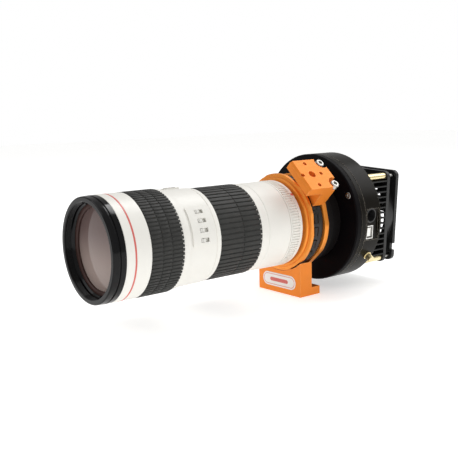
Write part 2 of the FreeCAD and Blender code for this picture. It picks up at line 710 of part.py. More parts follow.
def badge_shape(depth, proud):
    """Rounded-end plate let into the foot's front face."""
    front = -FOOT_LENGTH / 2 - proud
    half = BADGE_LENGTH / 2 - BADGE_H / 2
    thick = depth + proud
    ends = [
        Part.makeCylinder(BADGE_H / 2, thick, FreeCAD.Vector(side * half, front, BADGE_Z), ALONG) for side in (-1, 1)
    ]
    middle = Part.makeBox(2 * half, thick, BADGE_H, FreeCAD.Vector(-half, front, BADGE_Z - BADGE_H / 2))
    return middle.fuse(ends).removeSplitter()


def foot_badge():
    """Blank enamelled badge."""
    return badge_shape(0.3, BADGE_THICK - 0.3)


def foot_screws():
    """Two cap screws that pull the foot onto the front ring's tongue from behind."""
    screws = []
    for x in (-FOOT_SCREW_X, FOOT_SCREW_X):
        head = pin_along(x, -FOOT_SCREW_H, TOWER_END_Y - 3.2, TOWER_END_Y - 0.2, 2.75)
        shank = pin_along(x, -FOOT_SCREW_H, TONGUE_Y, TOWER_END_Y - 3.2, 1.45)
        recess = pin_along(x, -FOOT_SCREW_H, TOWER_END_Y - 1.6, TOWER_END_Y, 1.3)
        screws.append(head.fuse(shank).removeSplitter().cut(recess))
    return Part.Compound(screws)


def nose_spacer():
    """Black spacer between the rear ring and the camera, hollow for the light path."""
    outline = [
        (REAR_RING_END_Y, 36.0),
        (REAR_RING_END_Y, NOSE_R),
        (NOSE_STEP_Y, NOSE_R),
        (NOSE_STEP_Y, NOSE_NECK_R),
        (PLATE_FRONT_Y, NOSE_NECK_R),
        (PLATE_FRONT_Y, 29.0),
        (12.0, 29.0),
        (12.0, 36.0),
    ]
    return turned(outline)


# --- Camera ----------------------------------------------------------------------------------


def camera_front_plate():
    """Round front plate with the window seat and three screw holes."""
    outline = [
        (PLATE_FRONT_Y, 22.0),
        (PLATE_FRONT_Y, CAMERA_R - 0.9),
        (PLATE_FRONT_Y + 0.9, CAMERA_R),
        (RING_FRONT_Y - GROOVE, CAMERA_R),
        (RING_FRONT_Y - GROOVE, CAMERA_R - 0.8),
        (RING_FRONT_Y, CAMERA_R - 0.8),
        (RING_FRONT_Y, 26.0),
        (PLATE_FRONT_Y + 2.0, 26.0),
        (PLATE_FRONT_Y + 2.0, 22.0),
    ]
    plate = turned(outline)
    hole = pin_along(0, PLATE_SCREW_R, PLATE_FRONT_Y - 1, RING_FRONT_Y, 1.55)
    recess = pin_along(0, PLATE_SCREW_R, PLATE_FRONT_Y - 1, PLATE_FRONT_Y + 1.5, 2.9)
    return plate.cut(around(hole.fuse(recess), 3, PLATE_SCREW_ANGLE))


def front_plate_screws():
    """Three button-head screws in the front plate."""
    head = pin_along(0, PLATE_SCREW_R, PLATE_FRONT_Y - 0.1, PLATE_FRONT_Y + 1.5, 2.7)
    shank = pin_along(0, PLATE_SCREW_R, PLATE_FRONT_Y + 1.5, RING_FRONT_Y + 2.6, 1.45)
    recess = pin_along(0, PLATE_SCREW_R, PLATE_FRONT_Y - 1, PLATE_FRONT_Y + 0.9, 1.1)
    return Part.Compound(around(head.fuse(shank).removeSplitter().cut(recess), 3, PLATE_SCREW_ANGLE))


def camera_body_ring():
    """Middle ring of the housing, between two grooves."""
    outline = [
        (RING_FRONT_Y, RING_BORE_R),
        (RING_FRONT_Y, CAMERA_R),
        (SHELL_FRONT_Y - GROOVE, CAMERA_R),
        (SHELL_FRONT_Y - GROOVE, CAMERA_R - 0.8),
        (SHELL_FRONT_Y, CAMERA_R - 0.8),
        (SHELL_FRONT_Y, RING_BORE_R),
    ]
    hole = pin_along(0, PLATE_SCREW_R, RING_FRONT_Y - 1, RING_FRONT_Y + 2.8, 1.5)
    return turned(outline).cut(around(hole, 3, PLATE_SCREW_ANGLE))


def camera_shell():
    """Rear cup of the housing, with a flat port recess and the bosses of the fan's standoffs."""
    outline = [
        (SHELL_FRONT_Y, CAMERA_R),
        (SHELL_END_Y - 0.6, CAMERA_R),
        (SHELL_END_Y, CAMERA_R - 0.6),
        (SHELL_END_Y, 0.0),
        (SHELL_END_Y - BACK_WALL, 0.0),
        (SHELL_END_Y - BACK_WALL, SHELL_BORE_R),
        (SHELL_FRONT_Y, SHELL_BORE_R),
    ]
    shell = turned(outline)
    recess = block(-PORT_HALF, PORT_HALF, PORT_Y, PORT_END_Y, PORT_FLAT, CAMERA_R + 1)
    round_hole = pin_up(-ROUND_PORT_X, ROUND_PORT_Y, 40.0, PORT_FLAT + 1, ROUND_PORT_R)
    usb_hole = block(-USB_X - USB_HALF, -USB_X + USB_HALF, USB_Y - 4.2, USB_Y + 4.2, 40.0, PORT_FLAT + 1)
    shell = shell.cut(turn_to(recess.fuse([round_hole, usb_hole]), PORT_ANGLE))
    shell = shell.cut(turn_to(pin_up(0, PLUG_Y, 40.0, CAMERA_R + 1, 2.5), PLUG_ANGLE))
    shell = shell.cut(disc(SHELL_END_Y - BACK_WALL - 1, SHELL_END_Y + 1, 21.0))
    return shell.cut(corner_bars(SHELL_END_Y - 2.4, SHELL_END_Y + 1, 1.5))


def round_socket():
    """Round panel socket for power, open in front with a key stub."""
    body = pin_up(-ROUND_PORT_X, ROUND_PORT_Y, 42.0, PORT_FLAT + 0.6, ROUND_PORT_R - 0.05)
    mouth = pin_up(-ROUND_PORT_X, ROUND_PORT_Y, 44.0, PORT_FLAT + 2, ROUND_PORT_R - 1.0)
    stub = pin_up(-ROUND_PORT_X, ROUND_PORT_Y, 43.5, 46.5, 1.6)
    return turn_to(body.cut(mouth).fuse(stub).removeSplitter(), PORT_ANGLE)


def usb_socket():
    """Square data socket with a shell, a mouth and a tongue."""
    x0 = -USB_X - USB_HALF + 0.05
    x1 = -USB_X + USB_HALF - 0.05
    body = block(x0, x1, USB_Y - 4.15, USB_Y + 4.15, 38.0, PORT_FLAT + 0.4)
    mouth = block(x0 + 0.8, x1 - 0.8, USB_Y - 3.4, USB_Y + 3.4, 42.0, PORT_FLAT + 1)
    return turn_to(body.cut(mouth), PORT_ANGLE)


def purge_plug():
    """Brass thumb plug of the chamber's drying port."""
    stem = pin_up(0, PLUG_Y, 46.0, CAMERA_R + 0.4, 2.45)
    collar = pin_up(0, PLUG_Y, CAMERA_R - 0.4, CAMERA_R + 1.4, 3.6)
    collar = collar.cut(disc(SHELL_FRONT_Y, SHELL_END_Y, CAMERA_R))
    knob = pin_up(0, PLUG_Y, CAMERA_R + 1.4, CAMERA_R + 6.2, 2.9)
    return turn_to(stem.fuse([collar, knob]).removeSplitter(), PLUG_ANGLE)


def sensor_window():
    """Optical window of the sensor chamber, clamped behind the front plate."""
    return disc(PLATE_FRONT_Y + 2.0, PLATE_FRONT_Y + 4.0, 25.9)


def image_sensor():
    """Sensor package, behind the window."""
    return block(-20.0, 20.0, SENSOR_Y + 2.6, SENSOR_Y + 5.6, -15.0, 15.0)


def cold_finger():
    """Copper block that carries heat from the sensor to the cooler."""
    return block(-15.5, 15.5, SENSOR_Y + 5.6, 46.0, -11.5, 11.5)


def cooler_module():
    """Two-stage thermoelectric cooler."""
    return block(-12.0, 12.0, 46.0, 50.0, -10.0, 10.0).fuse(block(-15.0, 15.0, 50.0, SHELL_END_Y, -14.0, 14.0))


def main_board():
    """Round circuit board with a window for the cold finger and edge room for the sockets."""
    board = disc(39.4, 41.0, 39.0).cut(block(-16.0, 16.0, 38.0, 42.0, -12.0, 12.0))
    return board.cut(turn_to(block(-16.0, 16.0, 38.0, 42.0, 34.0, 42.0), PORT_ANGLE))


def heat_sink():
    """Aluminium heat sink: a base on the shell and flat fins that open to both sides."""
    sink = block(-SINK_HALF_X, SINK_HALF_X, SHELL_END_Y, SHELL_END_Y + SINK_BASE, -SINK_HALF_Z, SINK_HALF_Z)
    pitch = (2 * SINK_HALF_Z - FIN_THICK) / (FIN_COUNT - 1)
    fins = []
    for index in range(FIN_COUNT):
        low = -SINK_HALF_Z + index * pitch
        fins.append(block(-SINK_HALF_X, SINK_HALF_X, SHELL_END_Y + SINK_BASE - 0.5, SINK_END_Y, low, low + FIN_THICK))
    return turn_to(sink.fuse(fins).removeSplitter(), CAMERA_TURN)


def corner_bars(y0, y1, radius):
    """Four round bars at the fan's hole centres."""
    bars = []
    for x in (-FAN_HOLE, FAN_HOLE):
        for height in (-FAN_HOLE, FAN_HOLE):
            bars.append(turn_to(pin_along(x, height, y0, y1, radius), CAMERA_TURN))
    return bars


def fan_standoffs():
    """Four round brass standoffs between the shell and the fan."""
    bars = zip(corner_bars(SHELL_END_Y, FAN_Y, 3.0), corner_bars(SHELL_END_Y - 2.0, SHELL_END_Y, 1.45))
    pillars = [pillar.fuse(stud).removeSplitter() for pillar, stud in bars]
    holes = corner_bars(FAN_Y - 8.0, FAN_Y, 1.5)
    return Part.Compound([pillar.cut(hole) for pillar, hole in zip(pillars, holes)])


def fan_flange(y0):
    """Square fan flange with rounded corners."""
    plate = block(-FAN_HALF, FAN_HALF, y0, y0 + FAN_FLANGE, -FAN_HALF, FAN_HALF)
    edges = [e for e in plate.Edges if abs(e.tangentAt(e.FirstParameter).y) > 0.99]
    return plate.makeFillet(FAN_CORNER_R, edges)


def fan_frame():
    """Plastic fan frame: two flanges joined by a duct, a motor seat on four struts and a notch for its leads."""
    frame = fan_flange(FAN_Y).fuse(fan_flange(FAN_END_Y - FAN_FLANGE))
    frame = frame.fuse(disc(FAN_Y, FAN_END_Y, DUCT_R + DUCT_WALL))
    frame = frame.cut(disc(FAN_Y - 1, FAN_END_Y + 1, DUCT_R)).removeSplitter()
    inner = FAN_HALF - NOTCH_DEPTH
    frame = frame.cut(block(inner, FAN_HALF + 1, FAN_Y + FAN_FLANGE, FAN_END_Y + 1, NOTCH_LOW, NOTCH_TOP))
    seat = disc(FAN_END_Y - 2.4, FAN_END_Y, HUB_R)
    strut = block(-1.6, 1.6, FAN_END_Y - 2.4, FAN_END_Y, HUB_R - 1, DUCT_R + 0.6)
    shaft = disc(FAN_Y + 4.0, FAN_END_Y - 2.0, 1.5)
    frame = turn_to(frame.fuse([seat, shaft] + around(strut, 4, 45.0)).removeSplitter(), CAMERA_TURN)
    return frame.cut(corner_bars(FAN_Y - 1, FAN_END_Y + 1, 2.15))


def fan_rotor():
    """Fan wheel: a cup-shaped hub on the shaft and swept blades."""
    front = FAN_Y + 0.8
    back = FAN_END_Y - 3.0
    depth = back - front
    hub = disc(front, back, HUB_R).cut(disc(front + 2.0, back + 1, HUB_R - 1.6))
    boss = disc(front, back - 1.0, 3.2)
    blade = block(-BLADE_THICK / 2, BLADE_THICK / 2, front - 6.0, back + 6.0, HUB_R - 1.2, BLADE_R + 3)
    blade.rotate(at((front + back) / 2), UP, BLADE_PITCH)
    blade = blade.common(tube(front + 0.4, front + depth - 0.4, HUB_R - 1.0, BLADE_R))
    rotor = hub.fuse([boss] + around(blade, BLADE_COUNT)).removeSplitter()
    return rotor.cut(disc(FAN_Y + 3.9, back + 1, 1.5 + FIT))


def fan_screws():
    """Four screws through the fan into the standoffs."""
    heads = corner_bars(FAN_END_Y, FAN_END_Y + 2.0, 2.8)
    shanks = corner_bars(FAN_Y - 6.0, FAN_END_Y, 1.45)
    recesses = corner_bars(FAN_END_Y + 0.8, FAN_END_Y + 3.0, 1.2)
    screws = [head.fuse(shank).removeSplitter() for head, shank in zip(heads, shanks)]
    return Part.Compound([screw.cut(recess) for screw, recess in zip(screws, recesses)])


def sub_parts():
    """Every sub-part by name."""
    parts = {
        "front_bezel": front_bezel(),
        "front_retaining_ring": tube(CLAMP_Y, CLAMP_Y + 2.0, CLAMP_R, GLASS_R),
        "front_element": lens_disc(GLASS_Y, GLASS_R, 8.6, 4.8),
        "front_barrel": front_barrel(),
        "accent_ring": tube(ACCENT_Y, ACCENT_Y + ACCENT_WIDTH, BARREL_R - 0.7, BARREL_R + 0.06),
        "focus_sleeve": focus_sleeve(),
        "focus_grip": focus_grip(),
        "focus_motor": focus_motor(),
        "focus_cell": cell(FOCUS_CELL_Y, 8.0, FOCUS_GLASS_R, FOCUS_TUBE_R - 1.5),
        "focus_glass": lens_disc(FOCUS_CELL_Y, FOCUS_GLASS_R, 7.0, 3.0),
        "distance_drum": tube(DRUM_Y, DRUM_END_Y, GUIDE_R - 0.4, GUIDE_R + 0.6),
        "mid_barrel": mid_barrel(),
        "scale_window": scale_window(),
        "switch_panel": switch_panel(),
        "zoom_sleeve": zoom_sleeve(),
        "zoom_grip": zoom_grip(),
        "zoom_cam_tube": zoom_cam_tube(),
        "variator_cell": cell(VARIATOR_Y, 6.0, VARIATOR_GLASS_R, CELL_R),
        "variator_glass": lens_disc(VARIATOR_Y, VARIATOR_GLASS_R, 5.6, 2.6),
        "compensator_cell": cell(COMPENSATOR_Y, 6.0, COMPENSATOR_GLASS_R, CELL_R),
        "compensator_glass": lens_disc(COMPENSATOR_Y, COMPENSATOR_GLASS_R, 5.6, 2.6),
        "rear_barrel": rear_barrel(),
        "aperture_unit": aperture_unit(),
        "relay_cell": relay_cell(),
        "rear_element": lens_disc(RELAY_GLASS_Y, RELAY_GLASS_R - FIT, 5.4, 3.4),
        "mount_knurl_ring": mount_knurl_ring(),
        "index_dot": index_dot(),
        "lens_mount_flange": lens_mount_flange(),
        "adapter_front_ring": adapter_front_ring(),
        "release_button": release_button(),
        "lock_ring": lock_ring(),
        "adapter_rear_ring": adapter_rear_ring(),
        "rotator_clip": rotator_clip(),
        "accessory_bracket": accessory_bracket(),
        "bracket_screws": bracket_screws(),
        "foot": foot(),
        "foot_badge": foot_badge(),
        "foot_screws": foot_screws(),
        "nose_spacer": nose_spacer(),
        "camera_front_plate": camera_front_plate(),
        "front_plate_screws": front_plate_screws(),
        "camera_body_ring": camera_body_ring(),
        "camera_shell": camera_shell(),
        "round_socket": round_socket(),
        "usb_socket": usb_socket(),
        "purge_plug": purge_plug(),
        "sensor_window": sensor_window(),
        "image_sensor": image_sensor(),
        "cold_finger": cold_finger(),
        "cooler_module": cooler_module(),
        "main_board": main_board(),
        "heat_sink": heat_sink(),
        "fan_standoffs": fan_standoffs(),
        "fan_frame": fan_frame(),
        "fan_rotor": fan_rotor(),
        "fan_screws": fan_screws(),
    }
    for index, angle in enumerate(SWITCH_ANGLES):
        parts["switch_" + str(index + 1)] = switch_slider(angle)
    return parts


os.makedirs("parts", exist_ok=True)
for name, shape in sub_parts().items():
    shape.exportStep("parts/" + name + ".step")
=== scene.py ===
import json
import math

import bmesh
import bpy
from mathutils import Matrix, Vector


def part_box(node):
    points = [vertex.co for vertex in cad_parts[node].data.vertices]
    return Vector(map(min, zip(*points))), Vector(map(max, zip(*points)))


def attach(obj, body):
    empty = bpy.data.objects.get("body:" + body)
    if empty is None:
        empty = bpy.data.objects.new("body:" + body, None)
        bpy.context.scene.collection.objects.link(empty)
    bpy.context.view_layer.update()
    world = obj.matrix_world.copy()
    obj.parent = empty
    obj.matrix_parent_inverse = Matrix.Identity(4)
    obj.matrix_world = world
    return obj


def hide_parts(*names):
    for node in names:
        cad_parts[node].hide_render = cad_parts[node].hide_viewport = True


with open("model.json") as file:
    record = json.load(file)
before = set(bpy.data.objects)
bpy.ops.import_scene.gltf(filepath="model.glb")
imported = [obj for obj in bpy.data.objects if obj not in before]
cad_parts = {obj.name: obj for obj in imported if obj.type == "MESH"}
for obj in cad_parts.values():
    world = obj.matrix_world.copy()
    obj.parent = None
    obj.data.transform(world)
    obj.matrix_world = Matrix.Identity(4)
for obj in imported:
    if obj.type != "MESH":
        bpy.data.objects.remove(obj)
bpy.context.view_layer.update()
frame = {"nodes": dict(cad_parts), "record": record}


# --- Studio -----------------------------------------------------------------------------------
# A pale table top under a white room, with a large soft lamp over the front left, a strip lamp
# along the right, one behind and a small one above that draws a streak on glossy edges. The
# camera stands right of the lens's front, a little above the optical axis.

MM = 0.001
LOW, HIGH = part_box("front_bezel")
AXIS_HEIGHT = (LOW[2] + HIGH[2]) / 2


def placed(name, data):
    """New object in the scene, holding the data given."""
    item = bpy.data.objects.new(name, data)
    bpy.context.collection.objects.link(item)
    return item


def camera_at(target, distance, azimuth, elevation, roll, lens, shift):
    """Camera on a circle round its target; azimuth 0 looks along +Y."""
    a, e, r = (math.radians(angle) for angle in (azimuth, elevation, roll))
    back = Vector((math.sin(a) * math.cos(e), -math.cos(a) * math.cos(e), math.sin(e)))
    level = Vector((math.cos(a), math.sin(a), 0))
    upward = back.cross(level)
    right = level * math.cos(r) + upward * math.sin(r)
    top = upward * math.cos(r) - level * math.sin(r)
    data = bpy.data.cameras.new("studio_camera")
    data.lens = lens
    data.sensor_width = 36
    data.shift_x, data.shift_y = shift
    data.clip_start, data.clip_end = 0.01, 50
    camera = placed("studio_camera", data)
    facing = Matrix((right, top, back)).transposed().to_4x4()
    camera.matrix_world = Matrix.Translation(target + back * distance) @ facing
    bpy.context.scene.camera = camera


def soft_lamp(name, place, target, size, power):
    """Rectangular soft lamp turned to face a point."""
    data = bpy.data.lights.new(name, "AREA")
    data.shape = "RECTANGLE"
    data.size, data.size_y = size
    data.energy = power
    lamp = placed(name, data)
    lamp.location = place
    lamp.rotation_euler = (Vector(target) - Vector(place)).to_track_quat("-Z", "Y").to_euler()


AIM = Vector((0, -67.85 * MM, AXIS_HEIGHT))
camera_at(
    AIM, distance=0.55683, azimuth=52.109, elevation=9.199, roll=-1.644,
    lens=55.733, shift=(0.00934, 0.00247),
)
for lamp_name, lamp_place, lamp_size, lamp_power in (
    ("front_left_softbox", (-0.55, -1.0, 1.0), (0.9, 0.9), 3),
    ("right_strip", (1.15, -0.1, 0.75), (0.25, 1.1), 1.6),
    ("top_lamp", (-0.15, 0.45, 1.05), (0.5, 0.3), 4.2),
    ("back_softbox", (0.3, 1.1, 0.9), (1.0, 0.7), 5),
):
    soft_lamp(lamp_name, lamp_place, AIM, lamp_size, lamp_power)


def feed(tree, made, inputs):
    """Sets a node's inputs; each one is a socket to link or a plain value."""
    for label, value in inputs.items():
        if isinstance(value, bpy.types.NodeSocket):
            tree.links.new(value, made.inputs[label])
        else:
            made.inputs[label].default_value = value
    return made


def node(tree, kind, inputs=None, **settings):
    """New node with its settings and its inputs."""
    made = tree.nodes.new(kind)
    for label, value in settings.items():
        setattr(made, label, value)
    return feed(tree, made, inputs or {})


WHITE = (1, 1, 1, 1)
room = bpy.data.worlds.new("white_room")
room.use_nodes = True
tree = room.node_tree
lit = feed(tree, tree.nodes["Background"], {"Color": (1, 0.995, 0.985, 1), "Strength": 0.52})
seen = node(tree, "ShaderNodeBackground", {"Color": WHITE, "Strength": 1.0})
path = node(tree, "ShaderNodeLightPath")
either = node(
    tree, "ShaderNodeMixShader",
    {0: path.outputs["Is Camera Ray"], 1: lit.outputs[0], 2: seen.outputs[0]},
)
feed(tree, tree.nodes["World Output"], {0: either.outputs[0]})
bpy.context.scene.world = room
bpy.context.scene.view_settings.view_transform = "Standard"

MOTTLE_PER_MM = 0.09
GLOSS_PER_MM = 0.35
GLOSS_SPREAD = 0.18


def shade(finish, inputs):
    """Sets inputs of a finish's main shader."""
    feed(finish.node_tree, finish.node_tree.nodes["Principled BSDF"], inputs)
    return finish


def surface(
    name, colour, roughness, metallic=0.0, mottle=0.06, grain=2.0, depth=0.004, coat=0.0, gleam=0.5
):
    """Finish with a mottled colour, uneven gloss and a fine grain; grain is per millimetre."""
    finish = bpy.data.materials.new(name)
    finish.use_nodes = True
    tree = finish.node_tree
    coords = node(tree, "ShaderNodeTexCoord")
    in_mm = node(
        tree, "ShaderNodeVectorMath",
        {0: coords.outputs["Object"], "Scale": 1000},
        operation="SCALE",
    )

    def noise(scale, detail):
        inputs = {"Vector": in_mm.outputs[0], "Scale": scale, "Detail": detail}
        return node(tree, "ShaderNodeTexNoise", inputs).outputs["Fac"]

    blend = node(
        tree, "ShaderNodeMix",
        {
            "A": (*[c * (1 - mottle) for c in colour], 1),
            "B": (*[min(1, c * (1 + mottle)) for c in colour], 1),
            "Factor": noise(MOTTLE_PER_MM, 3),
        },
        name="mottled", data_type="RGBA",
    )
    gloss = node(
        tree, "ShaderNodeMapRange",
        {
            "To Min": roughness * (1 - GLOSS_SPREAD),
            "To Max": roughness * (1 + GLOSS_SPREAD),
            "Value": noise(GLOSS_PER_MM, 4),
        },
    )
    bump = node(
        tree, "ShaderNodeBump",
        {"Strength": 1.0, "Distance": depth * MM, "Height": noise(grain, 2)},
        name="grain",
    )
    return shade(
        finish,
        {
            "Base Color": blend.outputs["Result"],
            "Roughness": gloss.outputs["Result"],
            "Normal": bump.outputs["Normal"],
            "Metallic": metallic,
            "Specular IOR Level": gleam,
            "Coat Weight": coat,
            "Coat Roughness": 0.12,
        },
    )


table_top = surface("pale_table", (0.93, 0.93, 0.925), 0.6, mottle=0.01, grain=0.5, depth=0.02)
shade(table_top, {"Emission Color": WHITE, "Emission Strength": 0.5})
REACH = 4.0
corners = [(-REACH, -REACH, 0), (REACH, -REACH, 0), (REACH, REACH, 0), (-REACH, REACH, 0)]
sheet = bpy.data.meshes.new("table")
sheet.from_pydata(corners, [], [(0, 1, 2, 3)])
sheet.materials.append(table_top)
placed("table", sheet)


# --- Front ring of the lens -------------------------------------------------------------------
# A turned ring in glossy black, with a filter thread cut inside it, a narrow groove round its
# rim and a spigot that screws into the white barrel.


def span(node_name):
    """Front station, rear station and outer radius of a round CAD node."""
    low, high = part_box(node_name)
    return low[1], high[1], (high[0] - low[0]) / 2


def rounded(outline, radius):
    """Closed outline with each corner eased by a short curve."""
    eased = []
    for index, point in enumerate(outline):
        here = Vector(point)
        before = Vector(outline[index - 1])
        after = Vector(outline[(index + 1) % len(outline)])
        reach = min(radius, (before - here).length * 0.45, (after - here).length * 0.45)
        start = here + (before - here).normalized() * reach
        end = here + (after - here).normalized() * reach
        for step in (0.0, 0.3, 0.7, 1.0):
            eased.append(start.lerp(here, step).lerp(here.lerp(end, step), step))
    return eased


def shown(name, shape, finish):
    """Piece from a built shape, with even shading over its flats and roundings."""
    mesh = bpy.data.meshes.new(name)
    shape.to_mesh(mesh)
    shape.free()
    mesh.materials.append(finish)
    mesh.polygons.foreach_set("use_smooth", [True] * len(mesh.polygons))
    piece = placed(name, mesh)
    piece.modifiers.new("even_shading", "WEIGHTED_NORMAL")
    return piece


def hoop(shape, radius, station, sides):
    """Ring of points round the optical axis."""
    points = []
    for side in range(sides):
        turn = 2 * math.pi * side / sides
        spot = (radius * math.sin(turn), station, AXIS_HEIGHT + radius * math.cos(turn))
        points.append(shape.verts.new(spot))
    return points


def skin(shape, first, second):
    """Faces between two rings of points."""
    for side in range(len(first)):
        other = (side + 1) % len(first)
        shape.faces.new((first[side], first[other], second[other], second[side]))


def turned(name, outline, finish, easing=0.15 * MM, sides=192):
    """Lathe-turned closed ring about the optical axis, from (station, radius) corners."""
    shape = bmesh.new()
    hoops = [hoop(shape, radius, station, sides) for station, radius in rounded(outline, easing)]
    for index, first in enumerate(hoops):
        skin(shape, first, hoops[(index + 1) % len(hoops)])
    bmesh.ops.remove_doubles(shape, verts=shape.verts, dist=1e-7)
    bmesh.ops.recalc_face_normals(shape, faces=shape.faces)
    return shown(name, shape, finish)


def fit(piece, body, slot, *nodes):
    """The piece rides on a body and stands for its CAD nodes, which it hides; slot is not used."""
    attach(piece, body)
    if nodes:
        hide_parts(*nodes)


black_enamel = surface(
    "black_enamel", (0.003, 0.003, 0.0035), 0.1,
    mottle=0.15, grain=1.2, depth=0.001, coat=0.3, gleam=0.05,
)
bezel_front, bezel_rear, bezel_r = span("front_bezel")
barrel_front, barrel_rear, _ = span("front_barrel")
clamp_front, clamp_rear, clamp_r = span("front_retaining_ring")
THREAD_R = 33.5 * MM
THREAD_PITCH = 0.75 * MM
THREAD_DEPTH = 0.4 * MM
SPIGOT_DROP = 1.9 * MM
SPIGOT_BORE = THREAD_R + 0.2 * MM
GROOVE_FRONT = bezel_front + 4.2 * MM
GROOVE_REAR = bezel_front + 5.8 * MM
GROOVE_FLANK = 0.3 * MM
GROOVE_FLOOR = bezel_r - 0.8 * MM
NOSE = 0.6 * MM
SEAT_LIP = THREAD_R - 1.2 * MM
bezel = [
    (bezel_rear, bezel_r - SPIGOT_DROP),
    (barrel_front, bezel_r - SPIGOT_DROP),
    (barrel_front, bezel_r),
    (GROOVE_REAR, bezel_r),
    (GROOVE_REAR - GROOVE_FLANK, GROOVE_FLOOR),
    (GROOVE_FRONT + GROOVE_FLANK, GROOVE_FLOOR),
    (GROOVE_FRONT, bezel_r),
    (bezel_front + NOSE, bezel_r - 0.35 * MM),
    (bezel_front, bezel_r - 1.0 * MM),
    (bezel_front, THREAD_R + 0.7 * MM),
    (bezel_front + NOSE, THREAD_R),
]
ridge = bezel_front + 1.1 * MM
while ridge + THREAD_PITCH < clamp_front - 1.4 * MM:
    bezel += [(ridge, THREAD_R), (ridge + THREAD_PITCH / 2, THREAD_R + THREAD_DEPTH)]
    ridge += THREAD_PITCH
bezel += [
    (clamp_front - 1.2 * MM, THREAD_R),
    (clamp_front - 0.1 * MM, SEAT_LIP),
    (barrel_front, SEAT_LIP),
    (barrel_front, SPIGOT_BORE),
    (bezel_rear, SPIGOT_BORE),
]
fit(turned("front_ring", bezel, black_enamel), "root", "black_enamel", "front_bezel")


# --- Front glass and its clamp ring -----------------------------------------------------------
# The front glass is a thick coated element whose surface reflects a brownish grey. A thin
# blackened ring with a bevelled inner edge screws down on its rim.

clamp_finish = surface(
    "blackened_clamp", (0.05, 0.024, 0.02), 0.4, mottle=0.1, grain=3.0, gleam=0.2
)
CLAMP_BORE = 29.4 * MM
CLAMP_BEVEL = 0.9 * MM
clamp = [
    (clamp_front, clamp_r),
    (clamp_front, CLAMP_BORE + CLAMP_BEVEL),
    (clamp_front + CLAMP_BEVEL, CLAMP_BORE),
    (clamp_rear, CLAMP_BORE),
    (clamp_rear, clamp_r),
]
clamp_ring = turned("glass_clamp_ring", clamp, clamp_finish)
fit(clamp_ring, "root", "inner_black", "front_retaining_ring")
EDGE_SHARE = 0.56


def element(name, node_name, finish, rings=24, sides=128):
    """Biconvex glass element whose two faces are shallow domes."""
    front, rear, radius = span(node_name)
    sag = (rear - front) * (1 - EDGE_SHARE) / 2
    shape = bmesh.new()
    rims = []
    for facing, tip in ((1, front), (-1, rear)):
        pole = shape.verts.new((0, tip, AXIS_HEIGHT))
        shares = [ring / rings for ring in range(1, rings + 1)]
        hoops = [hoop(shape, radius * s, tip + facing * sag * s**2, sides) for s in shares]
        for side in range(sides):
            shape.faces.new((pole, hoops[0][side], hoops[0][(side + 1) % sides]))
        for inner, outer in zip(hoops, hoops[1:]):
            skin(shape, inner, outer)
        rims.append(hoops[-1])
    skin(shape, *rims)
    bmesh.ops.recalc_face_normals(shape, faces=shape.faces)
    return shown(name, shape, finish)


def coated_glass(name, tint, through, coat, ior=1.7, gleam=0.5):
    """Coated glass: a tinted body that lets part of the light through, under a hard reflection."""
    finish = surface(
        name, tint, 0.05, mottle=0.05, grain=0.2, depth=0.0005, coat=coat, gleam=gleam
    )
    return shade(
        finish,
        {
            "Transmission Weight": through,
            "IOR": ior,
            "Coat IOR": 1.9,
            "Coat Roughness": 0.02,
            "Coat Tint": (1.0, 0.86, 0.8, 1),
        },
    )


def painted_reflection_grade(finish, top_colour, low_colour, reach):
    """Paints a reflection into a finish: one colour at the top grading to another below, about the
    optical axis.
    """
    tree = finish.node_tree
    coords = node(tree, "ShaderNodeTexCoord")
    split = node(tree, "ShaderNodeSeparateXYZ", {0: coords.outputs["Object"]})
    place = node(
        tree, "ShaderNodeMapRange",
        {
            "From Min": AXIS_HEIGHT - reach,
            "From Max": AXIS_HEIGHT + reach,
            "Value": split.outputs["Z"],
        },
        interpolation_type="SMOOTHSTEP",
    )
    mix = node(
        tree, "ShaderNodeMix",
        {"A": (*low_colour, 1), "B": (*top_colour, 1), "Factor": place.outputs["Result"]},
        data_type="RGBA",
    )
    shade(finish, {"Base Color": mix.outputs["Result"]})


front_coating = coated_glass(
    "front_coating", (0.2, 0.15, 0.135), through=0.04, coat=0.02, ior=1.4, gleam=0.15
)
# Painted reflection: the front glass is coloured lighter below and darker above, standing in for
# the pale table and the room mirrored in it.
painted_reflection_grade(front_coating, (0.14, 0.098, 0.092), (0.33, 0.26, 0.235), 18 * MM)
front_glass = element("front_glass", "front_element", front_coating)
fit(front_glass, "root", "optical_glass", "front_element")
inner_coating = coated_glass("inner_coating", (0.3, 0.33, 0.36), through=0.8, coat=1.0)
for inner_glass in (
    "focus_glass", "variator_glass", "compensator_glass", "rear_element", "sensor_window"
):
    frame["nodes"][inner_glass].material_slots[0].material = inner_coating


# --- White front barrel and its coloured ring -------------------------------------------------
# The front barrel is a thin metal tube under warm white enamel. A narrow ring of red enamel is
# let into a groove round it, and its rear part is the tube that the focus ring turns on.

